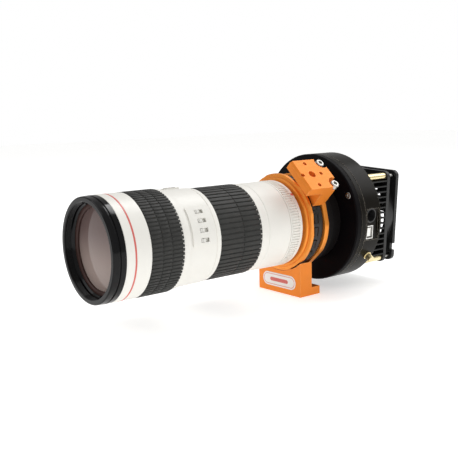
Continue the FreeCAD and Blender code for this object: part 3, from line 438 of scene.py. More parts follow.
white_enamel = surface(
    "white_enamel", (0.83, 0.815, 0.765), 0.4, mottle=0.02, grain=1.6, depth=0.012
)
red_enamel = surface("red_enamel", (0.66, 0.13, 0.11), 0.35, mottle=0.08, grain=1.6, depth=0.008)
accent_front, accent_rear, accent_r = span("accent_ring")
focus_front = span("focus_grip")[0]
BARREL_R = 38.0 * MM
BARREL_BORE = BARREL_R - 1.8 * MM
ACCENT_FLOOR = BARREL_R - 0.7 * MM
SHOULDER = focus_front - 0.3 * MM
SHOULDER_EASE = 0.4 * MM
TUBE_R = 35.4 * MM
TUBE_BORE = TUBE_R - 1.4 * MM
TUBE_LIP = TUBE_R - 3 * MM
TUBE_STEP = -167 * MM
BORE_STEP = barrel_front + 3.2 * MM
barrel = [
    (barrel_front, BARREL_BORE),
    (barrel_front, BARREL_R - 0.25 * MM),
    (barrel_front + 0.3 * MM, BARREL_R),
    (accent_front, BARREL_R),
    (accent_front, ACCENT_FLOOR),
    (accent_rear, ACCENT_FLOOR),
    (accent_rear, BARREL_R),
    (SHOULDER - SHOULDER_EASE, BARREL_R),
    (SHOULDER, BARREL_R - SHOULDER_EASE),
    (SHOULDER, TUBE_R),
    (barrel_rear, TUBE_R),
    (barrel_rear, TUBE_BORE),
    (TUBE_STEP, TUBE_BORE),
    (TUBE_STEP, TUBE_LIP),
    (BORE_STEP, TUBE_LIP),
    (BORE_STEP, BARREL_BORE),
]
fit(turned("front_white_barrel", barrel, white_enamel), "root", "white_enamel", "front_barrel")
accent = [
    (accent_front, ACCENT_FLOOR),
    (accent_front, accent_r),
    (accent_rear, accent_r),
    (accent_rear, ACCENT_FLOOR),
]
fit(turned("red_ring", accent, red_enamel), "root", "red_enamel", "accent_ring")


# --- Focus ring -------------------------------------------------------------------------------
# The wide front grip is a moulded rubber sleeve on a light metal ring. Its ribs run along the
# lens in three rows with shallow seams between them; white metal shows at their rear ends.


def new_tree(name, numbers=(), whole=(), vectors=()):
    """Empty geometry tree with a mesh in and out, a finish, and named sizes as inputs."""
    tree = bpy.data.node_groups.new(name, "GeometryNodeTree")
    make = tree.interface.new_socket
    make(name="Geometry", in_out="OUTPUT", socket_type="NodeSocketGeometry")
    make(name="Geometry", in_out="INPUT", socket_type="NodeSocketGeometry")
    make(name="Finish", in_out="INPUT", socket_type="NodeSocketMaterial")
    for labels, kind in ((numbers, "Float"), (whole, "Int"), (vectors, "Vector")):
        for label in labels:
            make(name=label, in_out="INPUT", socket_type="NodeSocket" + kind)
    return tree, tree.nodes.new("NodeGroupInput").outputs


def sums(tree, operation, first, second=0.0):
    """Math node on two sockets or numbers."""
    return node(tree, "ShaderNodeMath", {0: first, 1: second}, operation=operation).outputs[0]


def vector(tree, x=0.0, y=0.0, z=0.0):
    """Vector from three sockets or numbers."""
    return node(tree, "ShaderNodeCombineXYZ", {0: x, 1: y, 2: z}).outputs[0]


def moved(tree, geometry, offset):
    """Geometry shifted by an offset."""
    inputs = {"Geometry": geometry, "Translation": offset}
    return node(tree, "GeometryNodeTransform", inputs).outputs[0]


def joined(tree, *parts):
    """Several geometries as one."""
    join = node(tree, "GeometryNodeJoinGeometry")
    for part in parts:
        feed(tree, join, {0: part})
    return join.outputs[0]


def copied(tree, points, shape, angles=None):
    """A copy of the shape on each point, turned by its angles."""
    inputs = {"Points": points, "Instance": shape}
    if angles:
        inputs["Rotation"] = node(tree, "FunctionNodeEulerToRotation", {0: angles}).outputs[0]
    return node(tree, "GeometryNodeInstanceOnPoints", inputs).outputs[0]


def finish_tree(tree, geometry, given):
    """Ends a tree: its repeats as plain faces in one finish."""
    real = node(tree, "GeometryNodeRealizeInstances", {0: geometry})
    inputs = {"Geometry": real.outputs[0], "Material": given["Finish"]}
    paint = node(tree, "GeometryNodeSetMaterial", inputs)
    node(tree, "NodeGroupOutput", {"Geometry": paint.outputs[0]})
    return tree


def repeated_round(tree, shape, given):
    """Repeats a shape round the optical axis: Count times, at a Radius and a Station."""
    lifted = moved(tree, shape, vector(tree, 0, given["Station"], given["Radius"]))
    places = node(tree, "GeometryNodeMeshLine", {"Count": given["Count"], "Offset": (0, 0, 0)})
    index = node(tree, "GeometryNodeInputIndex").outputs[0]
    step = sums(tree, "DIVIDE", 2 * math.pi, given["Count"])
    turn = sums(tree, "ADD", sums(tree, "MULTIPLY", index, step), given["First Angle"])
    copies = copied(tree, places.outputs[0], lifted, vector(tree, 0, turn, 0))
    return moved(tree, copies, (0, 0, AXIS_HEIGHT))


def rib_tree():
    """Straight ribs with eased edges round a sleeve."""
    sizes = ("Length", "Width", "Height", "Easing", "Radius", "Station", "First Angle")
    tree, given = new_tree("round_ribs", sizes, ("Count",))
    section = node(
        tree, "GeometryNodeCurvePrimitiveQuadrilateral",
        {"Width": given["Width"], "Height": given["Height"]},
    )
    eased = node(
        tree, "GeometryNodeFilletCurve",
        {"Curve": section.outputs[0], "Radius": given["Easing"], "Count": 2},
        mode="POLY",
    )
    half = sums(tree, "MULTIPLY", given["Length"], 0.5)
    start = vector(tree, 0, sums(tree, "MULTIPLY", half, -1.0), 0)
    line = node(
        tree, "GeometryNodeCurvePrimitiveLine", {"Start": start, "End": vector(tree, 0, half, 0)}
    )
    bar = node(
        tree, "GeometryNodeCurveToMesh",
        {"Fill Caps": True, "Curve": line.outputs[0], "Profile Curve": eased.outputs[0]},
    )
    ribs = repeated_round(tree, bar.outputs[0], given)
    return finish_tree(tree, joined(tree, given["Geometry"], ribs), given)


def grown(piece, tree, finish, **sizes):
    """Runs a tree on a piece and keeps the result as its plain mesh."""
    piece.modifiers.clear()
    step = piece.modifiers.new(tree.name, "NODES")
    step.node_group = tree
    wanted = {label.replace("_", " "): value for label, value in sizes.items()}
    wanted["Finish"] = finish
    for item in tree.interface.items_tree:
        if item.in_out == "INPUT" and item.name in wanted:
            step[item.identifier] = wanted[item.name]
    ready = piece.evaluated_get(bpy.context.evaluated_depsgraph_get())
    mesh = bpy.data.meshes.new_from_object(ready)
    piece.modifiers.clear()
    piece.data = mesh
    mesh.name = piece.name
    mesh.materials.clear()
    mesh.materials.append(finish)
    return piece


round_ribs = rib_tree()


def ribbed(piece, finish, rows, count, width, height, top_radius, easing):
    """Adds rows of ribs, given each row's ends, to a turned sleeve."""
    for front, rear in rows:
        grown(
            piece, round_ribs, finish,
            Length=rear - front, Width=width, Height=2 * height, Easing=easing, Count=count,
            Radius=top_radius - height, Station=(front + rear) / 2, First_Angle=0.0,
        )
    piece.modifiers.new("even_shading", "WEIGHTED_NORMAL")


def sleeve(front, rear, inner, outer):
    """Outline of a plain sleeve."""
    return [(front, inner), (front, outer), (rear, outer), (rear, inner)]


grip_rubber = surface(
    "grip_rubber", (0.023, 0.023, 0.021), 0.6, mottle=0.3, grain=5.0, depth=0.03, gleam=0.4
)
WEB_INSET = 0.8 * MM
RIB_EASING = 0.4 * MM


def rubber_grip(ring, inner, base_drop, seams, count, width, height, top_drop):
    """White metal band of a ring with its ribbed rubber sleeve, parted by seams."""
    body, grip_name = ring + "_ring", ring + "_grip"
    front, rear, outer = span(grip_name)
    base = outer - base_drop
    band_r = base - 0.25 * MM
    band = turned(body + "_band", sleeve(front, rear, inner, band_r), white_enamel)
    fit(band, body, "white_enamel")
    web = sleeve(front, rear - WEB_INSET, band_r - 0.1 * MM, base)
    grip = turned(grip_name + "_rubber", web, grip_rubber)
    edges = [front, *[edge for seam in seams for edge in seam], rear]
    rows = list(zip(edges[::2], edges[1::2]))
    ribbed(grip, grip_rubber, rows, count, width, height, outer - top_drop, RIB_EASING)
    fit(grip, body, "grip_rubber", grip_name)


FOCUS_SEAMS = ((-150.3 * MM, -149.4 * MM), (-142.8 * MM, -141.9 * MM))
rubber_grip(
    "focus", TUBE_R + 1.25 * MM, base_drop=0.6 * MM, seams=FOCUS_SEAMS,
    count=82, width=1.95 * MM, height=0.62 * MM, top_drop=0.05 * MM,
)


# --- Zoom ring --------------------------------------------------------------------------------
# The rear grip is a second rubber sleeve with broader ribs and one seam near its middle. The
# white metal of the ring shows between the ribs at the rear edge.

ZOOM_SEAMS = ((-77.25 * MM, -76.45 * MM),)
rubber_grip(
    "zoom", span("zoom_grip")[2] - 1.4 * MM, base_drop=0.7 * MM, seams=ZOOM_SEAMS,
    count=58, width=2.75 * MM, height=0.75 * MM, top_drop=0.06 * MM,
)


# --- Middle barrel, window, switches ----------------------------------------------------------
# The middle barrel is white enamelled metal, stepped down behind the focus ring. It carries the
# clear window of the distance scale on top and a raised plate with four sliding switches.

SHARP = math.radians(35)
FLAT = math.radians(0.6)


def finished_copy(name, node_name, finish, body, slot, easing=0.25 * MM):
    """Fitted copy of a CAD node, its triangles merged into faces and its edges eased."""
    shape = bmesh.new()
    shape.from_mesh(frame["nodes"][node_name].data)
    bmesh.ops.remove_doubles(shape, verts=shape.verts, dist=2e-6)
    bmesh.ops.dissolve_limit(
        shape, angle_limit=FLAT, verts=shape.verts, edges=shape.edges, delimit={"NORMAL"}
    )
    piece = shown(name, shape, finish)
    ease = piece.modifiers.new("eased_edges", "BEVEL")
    ease.width = easing
    ease.segments = 2
    ease.limit_method = "ANGLE"
    ease.angle_limit = SHARP
    piece.modifiers["even_shading"].keep_sharp = True
    piece.modifiers.move(piece.modifiers.find("eased_edges"), 0)
    fit(piece, body, slot, node_name)


finished_copy("middle_white_barrel", "mid_barrel", white_enamel, "root", "white_enamel")
window_glass = coated_glass("window_glass", (0.05, 0.05, 0.055), through=0.35, coat=1.0)
finished_copy("scale_window_glass", "scale_window", window_glass, "root", "clear_window")
finished_copy("switch_plate", "switch_panel", white_enamel, "root", "white_enamel", easing=0.2 * MM)
switch_plastic = surface("switch_plastic", (0.76, 0.75, 0.71), 0.45, mottle=0.04, grain=3.0)
for number in (1, 2, 3, 4):
    switch = "switch_%d" % number
    slider = switch + "_slider"
    finished_copy(slider, switch, switch_plastic, switch, "switch_grey", easing=0.12 * MM)


# --- Rear barrel and bayonet ring -------------------------------------------------------------
# The rear barrel is white enamelled metal with a faint groove near its front. The ring next to
# the bayonet has a fine straight knurl and a red dot let into it for lining the lens up.

finished_copy("rear_white_barrel", "rear_barrel", white_enamel, "root", "white_enamel")
knurl_front, knurl_rear, knurl_r = span("mount_knurl_ring")
KNURL_TEETH = 98
KNURL_START = -27.5 * MM
KNURL_END = -20.0 * MM
KNURL_FLOOR = knurl_r - 0.85 * MM
KNURL_TOP = knurl_r - 0.05 * MM
KNURL_BORE = knurl_r - 2.1 * MM
ring = [
    (knurl_front, KNURL_BORE),
    (knurl_front, knurl_r - 0.2 * MM),
    (KNURL_START - 0.6 * MM, KNURL_TOP),
    (KNURL_START, KNURL_FLOOR),
    (KNURL_END, KNURL_FLOOR),
    (KNURL_END + 0.4 * MM, KNURL_TOP),
    (knurl_rear - 0.4 * MM, KNURL_TOP),
    (knurl_rear, knurl_r - 0.5 * MM),
    (knurl_rear, KNURL_BORE),
]
knurl = turned("bayonet_side_ring", ring, white_enamel)
ribbed(
    knurl, white_enamel, [(KNURL_START - 0.2 * MM, KNURL_END + 0.3 * MM)], KNURL_TEETH,
    width=1.05 * MM, height=0.62 * MM, top_radius=KNURL_TOP, easing=0.15 * MM,
)
fit(knurl, "root", "white_enamel", "mount_knurl_ring")
finished_copy("red_index_dot", "index_dot", red_enamel, "root", "red_enamel", easing=0.15 * MM)


# --- Orange adapter ---------------------------------------------------------------------------
# The adapter's two rings, the foot and the bracket are machined aluminium, orange anodised. The
# rings keep fine turning marks; milled edges carry a painted highlight, a little lighter.


def turning_marks(finish, spacing, depth):
    """Adds fine lathe lines round the optical axis to a finish."""
    tree = finish.node_tree
    coords = node(tree, "ShaderNodeTexCoord")
    centred = node(
        tree, "ShaderNodeMapping",
        {"Location": (0, 0, -AXIS_HEIGHT), "Vector": coords.outputs["Object"]},
    )
    split = node(tree, "ShaderNodeSeparateXYZ", {0: centred.outputs[0]}).outputs
    across = node(tree, "ShaderNodeCombineXYZ", {"X": split["X"], "Y": split["Z"]})
    radius = node(tree, "ShaderNodeVectorMath", {0: across.outputs[0]}, operation="LENGTH")
    flat = node(
        tree, "ShaderNodeCombineXYZ", {"X": radius.outputs["Value"], "Y": split["Y"]}
    )
    lines = node(
        tree, "ShaderNodeTexNoise",
        {"Vector": flat.outputs[0], "Scale": 1 / spacing, "Detail": 3},
        noise_dimensions="2D",
    )
    bump = node(
        tree, "ShaderNodeBump",
        {
            "Strength": 1.0,
            "Distance": depth,
            "Height": lines.outputs["Fac"],
            "Normal": tree.nodes["grain"].outputs["Normal"],
        },
    )
    shade(finish, {"Normal": bump.outputs["Normal"]})


def painted_edge_highlight(finish, highlight_colour, width, amount):
    """Paints a highlight along a finish's edges, lightening its colour there."""
    tree = finish.node_tree
    soft = node(tree, "ShaderNodeBevel", {"Radius": width}, samples=4)
    true = node(tree, "ShaderNodeNewGeometry")
    agree = node(
        tree, "ShaderNodeVectorMath",
        {0: soft.outputs[0], 1: true.outputs["Normal"]},
        operation="DOT_PRODUCT",
    )
    edge = node(
        tree, "ShaderNodeMapRange",
        {
            "From Min": 0.99,
            "From Max": 0.8,
            "To Max": amount,
            "Value": agree.outputs["Value"],
        },
    )
    mix = node(
        tree, "ShaderNodeMix",
        {
            "A": tree.nodes["mottled"].outputs["Result"],
            "B": (*highlight_colour, 1),
            "Factor": edge.outputs["Result"],
        },
        data_type="RGBA",
    )
    shade(finish, {"Base Color": mix.outputs["Result"]})


orange_turned = surface("orange_turned", (0.86, 0.29, 0.035), 0.34, metallic=0.55, grain=2.5)
turning_marks(orange_turned, 0.12 * MM, 0.004 * MM)
orange_milled = surface(
    "orange_milled", (0.86, 0.25, 0.028), 0.4,
    metallic=0.35, mottle=0.07, grain=3.0, depth=0.006, gleam=0.25,
)
# Painted highlight: the milled edges are coloured a lighter orange, standing in for the light
# caught along them.
painted_edge_highlight(orange_milled, (1.0, 0.52, 0.2), 0.5 * MM, 0.7)
for label, node_name, finish, body in (
    ("front_orange_ring", "adapter_front_ring", orange_turned, "root"),
    ("rear_orange_ring", "adapter_rear_ring", orange_turned, "camera"),
    ("orange_foot", "foot", orange_milled, "root"),
    ("orange_bracket", "accessory_bracket", orange_milled, "camera"),
):
    finished_copy(label, node_name, finish, body, "orange_anodised", easing=0.3 * MM)


# --- Lock ring and spacer ---------------------------------------------------------------------
# The lock ring between the two orange rings is black anodised, with a raised band that is cut
# into finger pads. The spacer behind the rear ring is a plain turned tube in a duller black.

black_turned = surface(
    "black_turned", (0.014, 0.012, 0.01), 0.36, mottle=0.2, grain=2.5, gleam=0.35
)
spacer_black = surface(
    "spacer_black", (0.006, 0.005, 0.005), 0.5, mottle=0.2, grain=2.5, gleam=0.15
)
for finish in (black_turned, spacer_black):
    turning_marks(finish, 0.15 * MM, 0.003 * MM)
lock_front, lock_rear, lock_r = span("lock_ring")
LOCK_PADS = 22
LOCK_BASE = lock_r - 1.1 * MM
LOCK_EASE = 0.4 * MM
PAD_FRONT = -6.4 * MM
PAD_REAR = -2.2 * MM
JOURNAL_R = 34.05 * MM
ring = [
    (lock_front, JOURNAL_R),
    (lock_front, LOCK_BASE - LOCK_EASE),
    (lock_front + LOCK_EASE, LOCK_BASE),
    (lock_rear - LOCK_EASE, LOCK_BASE),
    (lock_rear, LOCK_BASE - LOCK_EASE),
    (lock_rear, JOURNAL_R),
]
lock = turned("black_lock_ring", ring, black_turned)
ribbed(
    lock, black_turned, [(PAD_FRONT, PAD_REAR)], LOCK_PADS,
    width=7.9 * MM, height=1.05 * MM, top_radius=lock_r - 0.2 * MM, easing=0.3 * MM,
)
fit(lock, "lock_ring", "black_anodised", "lock_ring")
finished_copy("black_spacer", "nose_spacer", spacer_black, "camera", "black_anodised")


# --- Badge ------------------------------------------------------------------------------------
# A thin enamelled plate let into the foot's front face: white, with a fine red line round it and
# a plain red bar in the middle.

badge_low, badge_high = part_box("foot_badge")


def stadium(name, half_length, half_height, front, thickness, finish, rim=0.0):
    """Flat plate with round ends, facing -Y; a rim width makes it a frame."""

    def ends(grow):
        reach, radius = half_length - half_height, half_height + grow
        points = []
        for side in (1, -1):
            for step in range(25):
                turn = math.radians(-90 + 180 * step / 24)
                points.append(
                    (side * (reach + radius * math.cos(turn)), side * radius * math.sin(turn))
                )
        return points

    curve = bpy.data.curves.new(name, "CURVE")
    curve.dimensions = "2D"
    curve.fill_mode = "BOTH"
    curve.extrude = thickness / 2
    curve.bevel_depth = min(0.06 * MM, thickness / 3)
    for outline in [ends(-curve.bevel_depth)] + ([ends(-rim)] if rim else []):
        spline = curve.splines.new("POLY")
        spline.points.add(len(outline) - 1)
        for point, (x, z) in zip(spline.points, outline):
            point.co = (x, z, 0, 1)
        spline.use_cyclic_u = True
    flat = placed(name, curve)
    graph = bpy.context.evaluated_depsgraph_get()
    mesh = bpy.data.meshes.new_from_object(flat.evaluated_get(graph))
    bpy.data.objects.remove(flat)
    centre = (badge_low + badge_high) / 2
    set_in = Matrix.Translation((centre[0], front + thickness / 2, centre[2]))
    mesh.transform(set_in @ Matrix.Rotation(math.pi / 2, 4, "X"))
    mesh.materials.clear()
    mesh.materials.append(finish)
    return placed(name, mesh)


badge_white = surface(
    "badge_white", (0.86, 0.84, 0.82), 0.2, mottle=0.01, grain=1.0, coat=0.5
)
half_length, _, half_height = (badge_high - badge_low) / 2
PLATE_SET_BACK = 0.05 * MM
ENAMEL_THICK = 0.1 * MM
LINE_INSET = 1.2 * MM
plate = stadium(
    "badge_plate", half_length, half_height, badge_low[1] + PLATE_SET_BACK,
    badge_high[1] - badge_low[1] - PLATE_SET_BACK, badge_white,
)
fit(plate, "root", "badge_enamel", "foot_badge")
line = stadium(
    "badge_line", half_length - LINE_INSET, half_height - LINE_INSET, badge_low[1],
    ENAMEL_THICK, red_enamel, rim=0.45 * MM,
)
fit(line, "root", "red_enamel")
bar = stadium("badge_bar", 11 * MM, 1.6 * MM, badge_low[1], ENAMEL_THICK, red_enamel)
fit(bar, "root", "red_enamel")


# --- Camera housing ---------------------------------------------------------------------------
# The housing is three turned parts in satin black anodising: a front plate, a middle ring and a
# rear cup, with a shallow groove at each joint and a flat recess milled for the sockets.

black_plate = surface(
    "black_plate", (0.0022, 0.0016, 0.0022), 0.5, mottle=0.2, grain=2.5, gleam=0.06
)
turning_marks(black_plate, 0.2 * MM, 0.003 * MM)
housing_black = surface(
    "housing_black", (0.006, 0.0048, 0.003), 0.3, mottle=0.2, grain=2.5, gleam=0.08
)
turning_marks(housing_black, 0.15 * MM, 0.003 * MM)
# Painted highlight: the housing's edges are coloured a light brownish grey, standing in for the
# glossy glints along its rims and grooves.
painted_edge_highlight(housing_black, (0.42, 0.38, 0.32), 0.45 * MM, 0.9)
for label, node_name, finish, slot in (
    ("camera_front", "camera_front_plate", black_plate, "black_plate"),
    ("camera_middle_ring", "camera_body_ring", housing_black, "black_anodised"),
    ("camera_rear_cup", "camera_shell", housing_black, "black_anodised"),
):
    finished_copy(label, node_name, finish, "camera", slot, easing=0.3 * MM)


# --- Sockets and drying plug ------------------------------------------------------------------
# A round power socket and a square data socket sit in the recess, and a brass thumb plug closes
# the chamber's drying port below them. The fan's four standoffs are of the same brass.

bright_steel = surface(
    "bright_steel", (0.52, 0.51, 0.48), 0.3, metallic=1.0, mottle=0.04, grain=3.0
)
socket_steel = surface(
    "socket_steel", (0.8, 0.79, 0.76), 0.3, metallic=0.6, mottle=0.04, grain=3.0
)
brass = surface("polished_brass", (0.78, 0.66, 0.38), 0.24, metallic=1.0, grain=3.0)
socket_black = surface("socket_black", (0.02, 0.02, 0.02), 0.4, mottle=0.2, grain=4.0)
for label, node_name, finish, slot in (
    ("round_power_socket", "round_socket", socket_black, "socket_black"),
    ("square_data_socket", "usb_socket", socket_steel, "socket_silver"),
    ("brass_thumb_plug", "purge_plug", brass, "brass_fittings"),
    ("brass_standoffs", "fan_standoffs", brass, "brass_fittings"),
):
    finished_copy(label, node_name, finish, "camera", slot, easing=0.2 * MM)


def slab(name, low, high, finish):
    """Block with eased edges between two corners."""
    shape = bmesh.new()
    bmesh.ops.create_cube(shape, size=1)
    low, high = Vector(low), Vector(high)
    bmesh.ops.scale(shape, vec=high - low, verts=shape.verts)
    bmesh.ops.translate(shape, vec=(low + high) / 2, verts=shape.verts)
    bmesh.ops.bevel(
        shape, geom=shape.edges, offset=0.3 * MM, segments=2, affect="EDGES", profile=0.5
    )
    return shown(name, shape, finish)


def turned_about_axis(piece, angle):
    """Turns a piece's mesh about the optical axis, by degrees from straight up towards +X."""
    turn = Matrix.Rotation(math.radians(angle), 4, "Y")
    piece.data.transform(Matrix.Translation((0, 0, AXIS_HEIGHT)) @ turn)


PORT_ANGLE = 93.5
TONGUE_LOW = (2.9 * MM, 41.0 * MM, 41.8 * MM)
TONGUE_HIGH = (10.1 * MM, 45.4 * MM, 51.6 * MM)
tongue = slab("data_socket_tongue", TONGUE_LOW, TONGUE_HIGH, socket_steel)
turned_about_axis(tongue, PORT_ANGLE)
fit(tongue, "camera", "socket_silver")


# --- Screws -----------------------------------------------------------------------------------
# All the screws are plated steel with a hexagon socket: two caps on the bracket, two behind the
# foot, three buttons in the camera's front plate and four through the fan. The adapter's release
# button is turned from the same steel.


def screw_tree():
    """Cap screws on the base mesh's points: a bevelled head with a hexagon socket, and a shank."""
    sizes = (
        "Head Radius", "Head Height", "Socket Radius", "Socket Depth",
        "Shank Radius", "Shank Length",
    )
    tree, given = new_tree("cap_screws", sizes, (), ("Heading",))

    def bar(radius, length, middle, sides):
        made = node(
            tree, "GeometryNodeMeshCylinder",
            {"Vertices": sides, "Radius": radius, "Depth": length},
        )
        return moved(tree, made.outputs["Mesh"], vector(tree, 0, 0, middle))

    def half(size, sign=1):
        return sums(tree, "MULTIPLY", size, 0.5 * sign)

    height, radius = given["Head Height"], given["Head Radius"]
    bevel = sums(tree, "MULTIPLY", height, 0.16)
    straight = sums(tree, "SUBTRACT", height, bevel)
    crown = node(
        tree, "GeometryNodeMeshCone",
        {
            "Vertices": 40,
            "Radius Bottom": radius,
            "Radius Top": sums(tree, "SUBTRACT", radius, bevel),
            "Depth": bevel,
        },
    )
    head = node(tree, "GeometryNodeMeshBoolean", operation="UNION")
    feed(tree, head, {"Mesh 2": bar(radius, straight, half(straight), 40)})
    feed(tree, head, {"Mesh 2": moved(tree, crown.outputs["Mesh"], vector(tree, 0, 0, straight))})
    deep = sums(tree, "MULTIPLY", given["Socket Depth"], 2.0)
    socket = bar(given["Socket Radius"], deep, height, 6)
    cut = node(
        tree, "GeometryNodeMeshBoolean",
        {"Mesh 1": head.outputs["Mesh"], "Mesh 2": socket},
        operation="DIFFERENCE",
    )
    length = given["Shank Length"]
    shank = bar(given["Shank Radius"], length, half(length, -1), 24)
    screw = joined(tree, shank, cut.outputs["Mesh"])
    return finish_tree(tree, copied(tree, given["Geometry"], screw, given["Heading"]), given)


cap_screws = screw_tree()


def screws(name, seats, heading, head, socket, shank):
    """Screws at their seats; head, socket and shank are (radius, length) in millimetres."""
    mesh = bpy.data.meshes.new(name)
    mesh.from_pydata(seats, [], [])
    return grown(
        placed(name, mesh), cap_screws, bright_steel, Heading=heading,
        Head_Radius=head[0] * MM, Head_Height=head[1] * MM,
        Socket_Radius=socket[0] * MM, Socket_Depth=socket[1] * MM,
        Shank_Radius=shank[0] * MM, Shank_Length=shank[1] * MM,
    )


def round_axis(y, height, across, angle):
    """Point at a height from the optical axis and a distance across, turned round it."""
    turn = math.radians(angle)
    x = height * math.sin(turn) + across * math.cos(turn)
    z = height * math.cos(turn) - across * math.sin(turn)
    return (x, y, AXIS_HEIGHT + z)


BOTH = (-1, 1)
BRACKET_ANGLE = 44
BRACKET_SEAT_Y = 6.2 * MM
BRACKET_SEAT_UP = 54 * MM
BRACKET_SEAT_ACROSS = 11.3 * MM
BUTTON_SEAT_Y = span("camera_front_plate")[0] + 1.5 * MM
BUTTON_REACH = 48.85 * MM
BUTTON_ANGLE = 63.7
FOOT_SEAT_Y = span("foot_screws")[1] - 3 * MM
FOOT_SEAT_Z = AXIS_HEIGHT - 46.2 * MM
FOOT_SEAT_ACROSS = 8.5 * MM
FAN_SEAT_Y = span("fan_frame")[1]
FAN_HOLE = 35.75 * MM
CAMERA_TURN = 3.5
AWAY_FROM_AXIS = (0, math.radians(BRACKET_ANGLE), 0)
TOWARDS_FRONT = (math.radians(90), 0, 0)
TOWARDS_REAR = (math.radians(-90), 0, 0)
bracket_seats = [
    round_axis(BRACKET_SEAT_Y, BRACKET_SEAT_UP, side * BRACKET_SEAT_ACROSS, BRACKET_ANGLE)
    for side in BOTH
]
button_seats = [
    round_axis(BUTTON_SEAT_Y, BUTTON_REACH, 0, BUTTON_ANGLE + 120 * index) for index in range(3)
]
foot_seats = [(side * FOOT_SEAT_ACROSS, FOOT_SEAT_Y, FOOT_SEAT_Z) for side in BOTH]
fan_seats = [
    round_axis(FAN_SEAT_Y, side_z * FAN_HOLE, side_x * FAN_HOLE, CAMERA_TURN)
    for side_x in BOTH
    for side_z in BOTH
]
for label, node_name, body, seats, heading, head, socket, shank in (
    ("bracket_cap_screws", "bracket_screws", "camera", bracket_seats, AWAY_FROM_AXIS,
     (3.5, 4), (2.0, 2.4), (1.6, 18)),
    ("front_plate_buttons", "front_plate_screws", "camera", button_seats, TOWARDS_FRONT,
     (2.7, 1.55), (1.2, 0.9), (1.4, 8)),
    ("foot_cap_screws", "foot_screws", "root", foot_seats, TOWARDS_REAR,
     (2.7, 3), (1.4, 1.6), (1.4, 8)),
    ("fan_cap_screws", "fan_screws", "camera", fan_seats, TOWARDS_REAR,
     (2.75, 1.95), (1.3, 1.2), (1.4, 20)),
):
    fit(screws(label, seats, heading, head, socket, shank), body, "bright_screws", node_name)
finished_copy(
    "lens_release_button", "release_button", bright_steel, "release_button", "bright_screws",
    easing=0.2 * MM,
)


# --- Heat sink --------------------------------------------------------------------------------
# A black anodised heat sink: a thick base on the rear cup and thin level fins, open to both
# sides so that the fan can pull air through.

sink_black = surface(
    "sink_black", (0.012, 0.012, 0.012), 0.5, metallic=0.1, mottle=0.2, grain=2.0, gleam=0.3
)


def fin_tree():
    """Flat level fins in a stack."""
    tree, given = new_tree("level_fins", ("Pitch", "Lowest"), ("Count",), ("Fin Size", "Middle"))
    fin = node(tree, "GeometryNodeMeshCube", {"Size": given["Fin Size"]})
    pitch = vector(tree, 0, 0, given["Pitch"])
    stack = node(tree, "GeometryNodeMeshLine", {"Count": given["Count"], "Offset": pitch})
    copies = copied(tree, stack.outputs[0], fin.outputs["Mesh"])
    lowest = vector(tree, 0, 0, given["Lowest"])
    foot = node(tree, "ShaderNodeVectorMath", {0: given["Middle"], 1: lowest}, operation="ADD")
    fins = moved(tree, copies, foot.outputs[0])
    return finish_tree(tree, joined(tree, given["Geometry"], fins), given)


sink_front, sink_rear, _ = span("heat_sink")
FINS = 15
FIN_THICK = 1.1 * MM
BASE_THICK = 5 * MM
FIN_ROOT = 0.5 * MM
SINK_HALF_X = 40 * MM
SINK_HALF_Z = 32.6 * MM
base_low = (-SINK_HALF_X, sink_front, -SINK_HALF_Z)
base_high = (SINK_HALF_X, sink_front + BASE_THICK, SINK_HALF_Z)
sink = slab("finned_heat_sink", base_low, base_high, sink_black)
fin_depth = sink_rear - sink_front - BASE_THICK + FIN_ROOT
grown(
    sink, fin_tree(), sink_black, Count=FINS,
    Pitch=(2 * SINK_HALF_Z - FIN_THICK) / (FINS - 1), Lowest=FIN_THICK / 2 - SINK_HALF_Z,
    Fin_Size=(2 * SINK_HALF_X, fin_depth, FIN_THICK), Middle=(0, sink_rear - fin_depth / 2, 0),
)
turned_about_axis(sink, CAMERA_TURN)
fit(sink, "camera", "heat_sink_black", "heat_sink")


# --- Fan --------------------------------------------------------------------------------------
# An 80 mm axial fan in black moulded plastic. The frame is two square flanges joined by a round
# duct; the wheel has seven twisted blades on a cup-shaped hub.

fan_plastic = surface(
    "fan_plastic", (0.011, 0.011, 0.011), 0.42, mottle=0.15, grain=3.0, depth=0.01, gleam=0.35
)
finished_copy(
    "fan_frame_moulding", "fan_frame", fan_plastic, "camera", "fan_plastic", easing=0.3 * MM
)


def blade_tree():
    """Twisted fan blades round a hub, each one a bent sheet."""
    sizes = (
        "Root Radius", "Tip Radius", "Depth", "Root Arc", "Tip Arc", "Sweep",
        "Radius", "Station", "First Angle",
    )
    tree, given = new_tree("fan_blades", sizes, ("Count",))

    def times(first, second):
        return sums(tree, "MULTIPLY", first, second)

    def between(first, second, share):
        gain = times(share, sums(tree, "SUBTRACT", second, first))
        return sums(tree, "ADD", first, gain)

    grid = node(
        tree, "GeometryNodeMeshGrid",
        {"Size X": 1, "Size Y": 1, "Vertices X": 10, "Vertices Y": 10},
    )
    place = node(tree, "GeometryNodeInputPosition")
    split = node(tree, "ShaderNodeSeparateXYZ", {0: place.outputs[0]})
    along = sums(tree, "ADD", split.outputs["X"], 0.5)
    chord = split.outputs["Y"]
    radius = between(given["Root Radius"], given["Tip Radius"], along)
    arc = between(given["Root Arc"], given["Tip Arc"], along)
    turn = sums(tree, "ADD", times(chord, arc), times(along, given["Sweep"]))
    spot = vector(
        tree, times(radius, sums(tree, "SINE", turn)), times(chord, given["Depth"]),
        times(radius, sums(tree, "COSINE", turn)),
    )
    shaped = node(
        tree, "GeometryNodeSetPosition", {"Geometry": grid.outputs["Mesh"], "Position": spot}
    )
    blades = repeated_round(tree, shaped.outputs[0], given)
    return finish_tree(tree, joined(tree, given["Geometry"], blades), given)


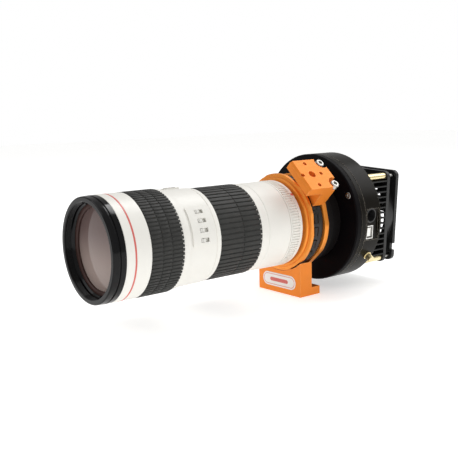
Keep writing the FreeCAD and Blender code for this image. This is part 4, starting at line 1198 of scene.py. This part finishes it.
rotor_front, rotor_rear, _ = span("fan_rotor")
HUB_R = 17 * MM
BLADE_SHEET = 1.1 * MM
blades = grown(
    placed("fan_blades", bpy.data.meshes.new("fan_blades")), blade_tree(), fan_plastic,
    Count=7, Root_Radius=HUB_R - 0.8 * MM, Tip_Radius=36.9 * MM, Depth=9.2 * MM,
    Root_Arc=0.62, Tip_Arc=0.42, Sweep=0.28, Radius=0.0,
    Station=(rotor_front + rotor_rear) / 2, First_Angle=0.2,
)
thick = blades.modifiers.new("sheet_thickness", "SOLIDIFY")
thick.thickness = BLADE_SHEET
thick.offset = 0
fit(blades, "fan_rotor", "fan_plastic", "fan_rotor")
CUP_BORE = HUB_R - 1.6 * MM
CUP_FLOOR = rotor_front + 2 * MM
BOSS_R = 3.2 * MM
BOSS_BORE = 1.6 * MM
BOSS_REAR = rotor_rear - 1 * MM
RIM_BEVEL = 0.6 * MM
hub = [
    (rotor_front, BOSS_BORE),
    (rotor_front, HUB_R - RIM_BEVEL),
    (rotor_front + RIM_BEVEL, HUB_R),
    (rotor_rear, HUB_R),
    (rotor_rear, CUP_BORE),
    (CUP_FLOOR, CUP_BORE),
    (CUP_FLOOR, BOSS_R),
    (BOSS_REAR, BOSS_R),
    (BOSS_REAR, BOSS_BORE),
]
fit(turned("fan_hub", hub, fan_plastic, 0.3 * MM, sides=96), "fan_rotor", "fan_plastic")


# --- Inner parts ------------------------------------------------------------------------------
# The lens cells, motor, iris, bayonet, sensor, cooler and boards stay as they are in the frame
# and only take their finishes: blackened metal, chrome, copper, ceramic, steel and board green.

INNER = {
    "inner_black": surface("inner_black", (0.025, 0.025, 0.025), 0.7, mottle=0.2, grain=3.0),
    "chrome_mount": surface(
        "chrome_mount", (0.8, 0.8, 0.8), 0.12, metallic=1.0, mottle=0.02, depth=0.001
    ),
    "copper_block": surface("copper_block", (0.75, 0.36, 0.2), 0.3, metallic=1.0),
    "sensor_package": surface("ceramic_package", (0.22, 0.23, 0.25), 0.4),
    "circuit_board": surface("board_green", (0.02, 0.11, 0.05), 0.35, mottle=0.25, grain=0.8),
    "steel_parts": surface("motor_metal", (0.45, 0.45, 0.46), 0.3, metallic=1.0),
    "black_anodised": black_turned,
}
for part in frame["record"]["subparts"]:
    cad = frame["nodes"][part["node"]]
    if not cad.hide_render and part["material_slot"] in INNER:
        cad.material_slots[0].material = INNER[part["material_slot"]]
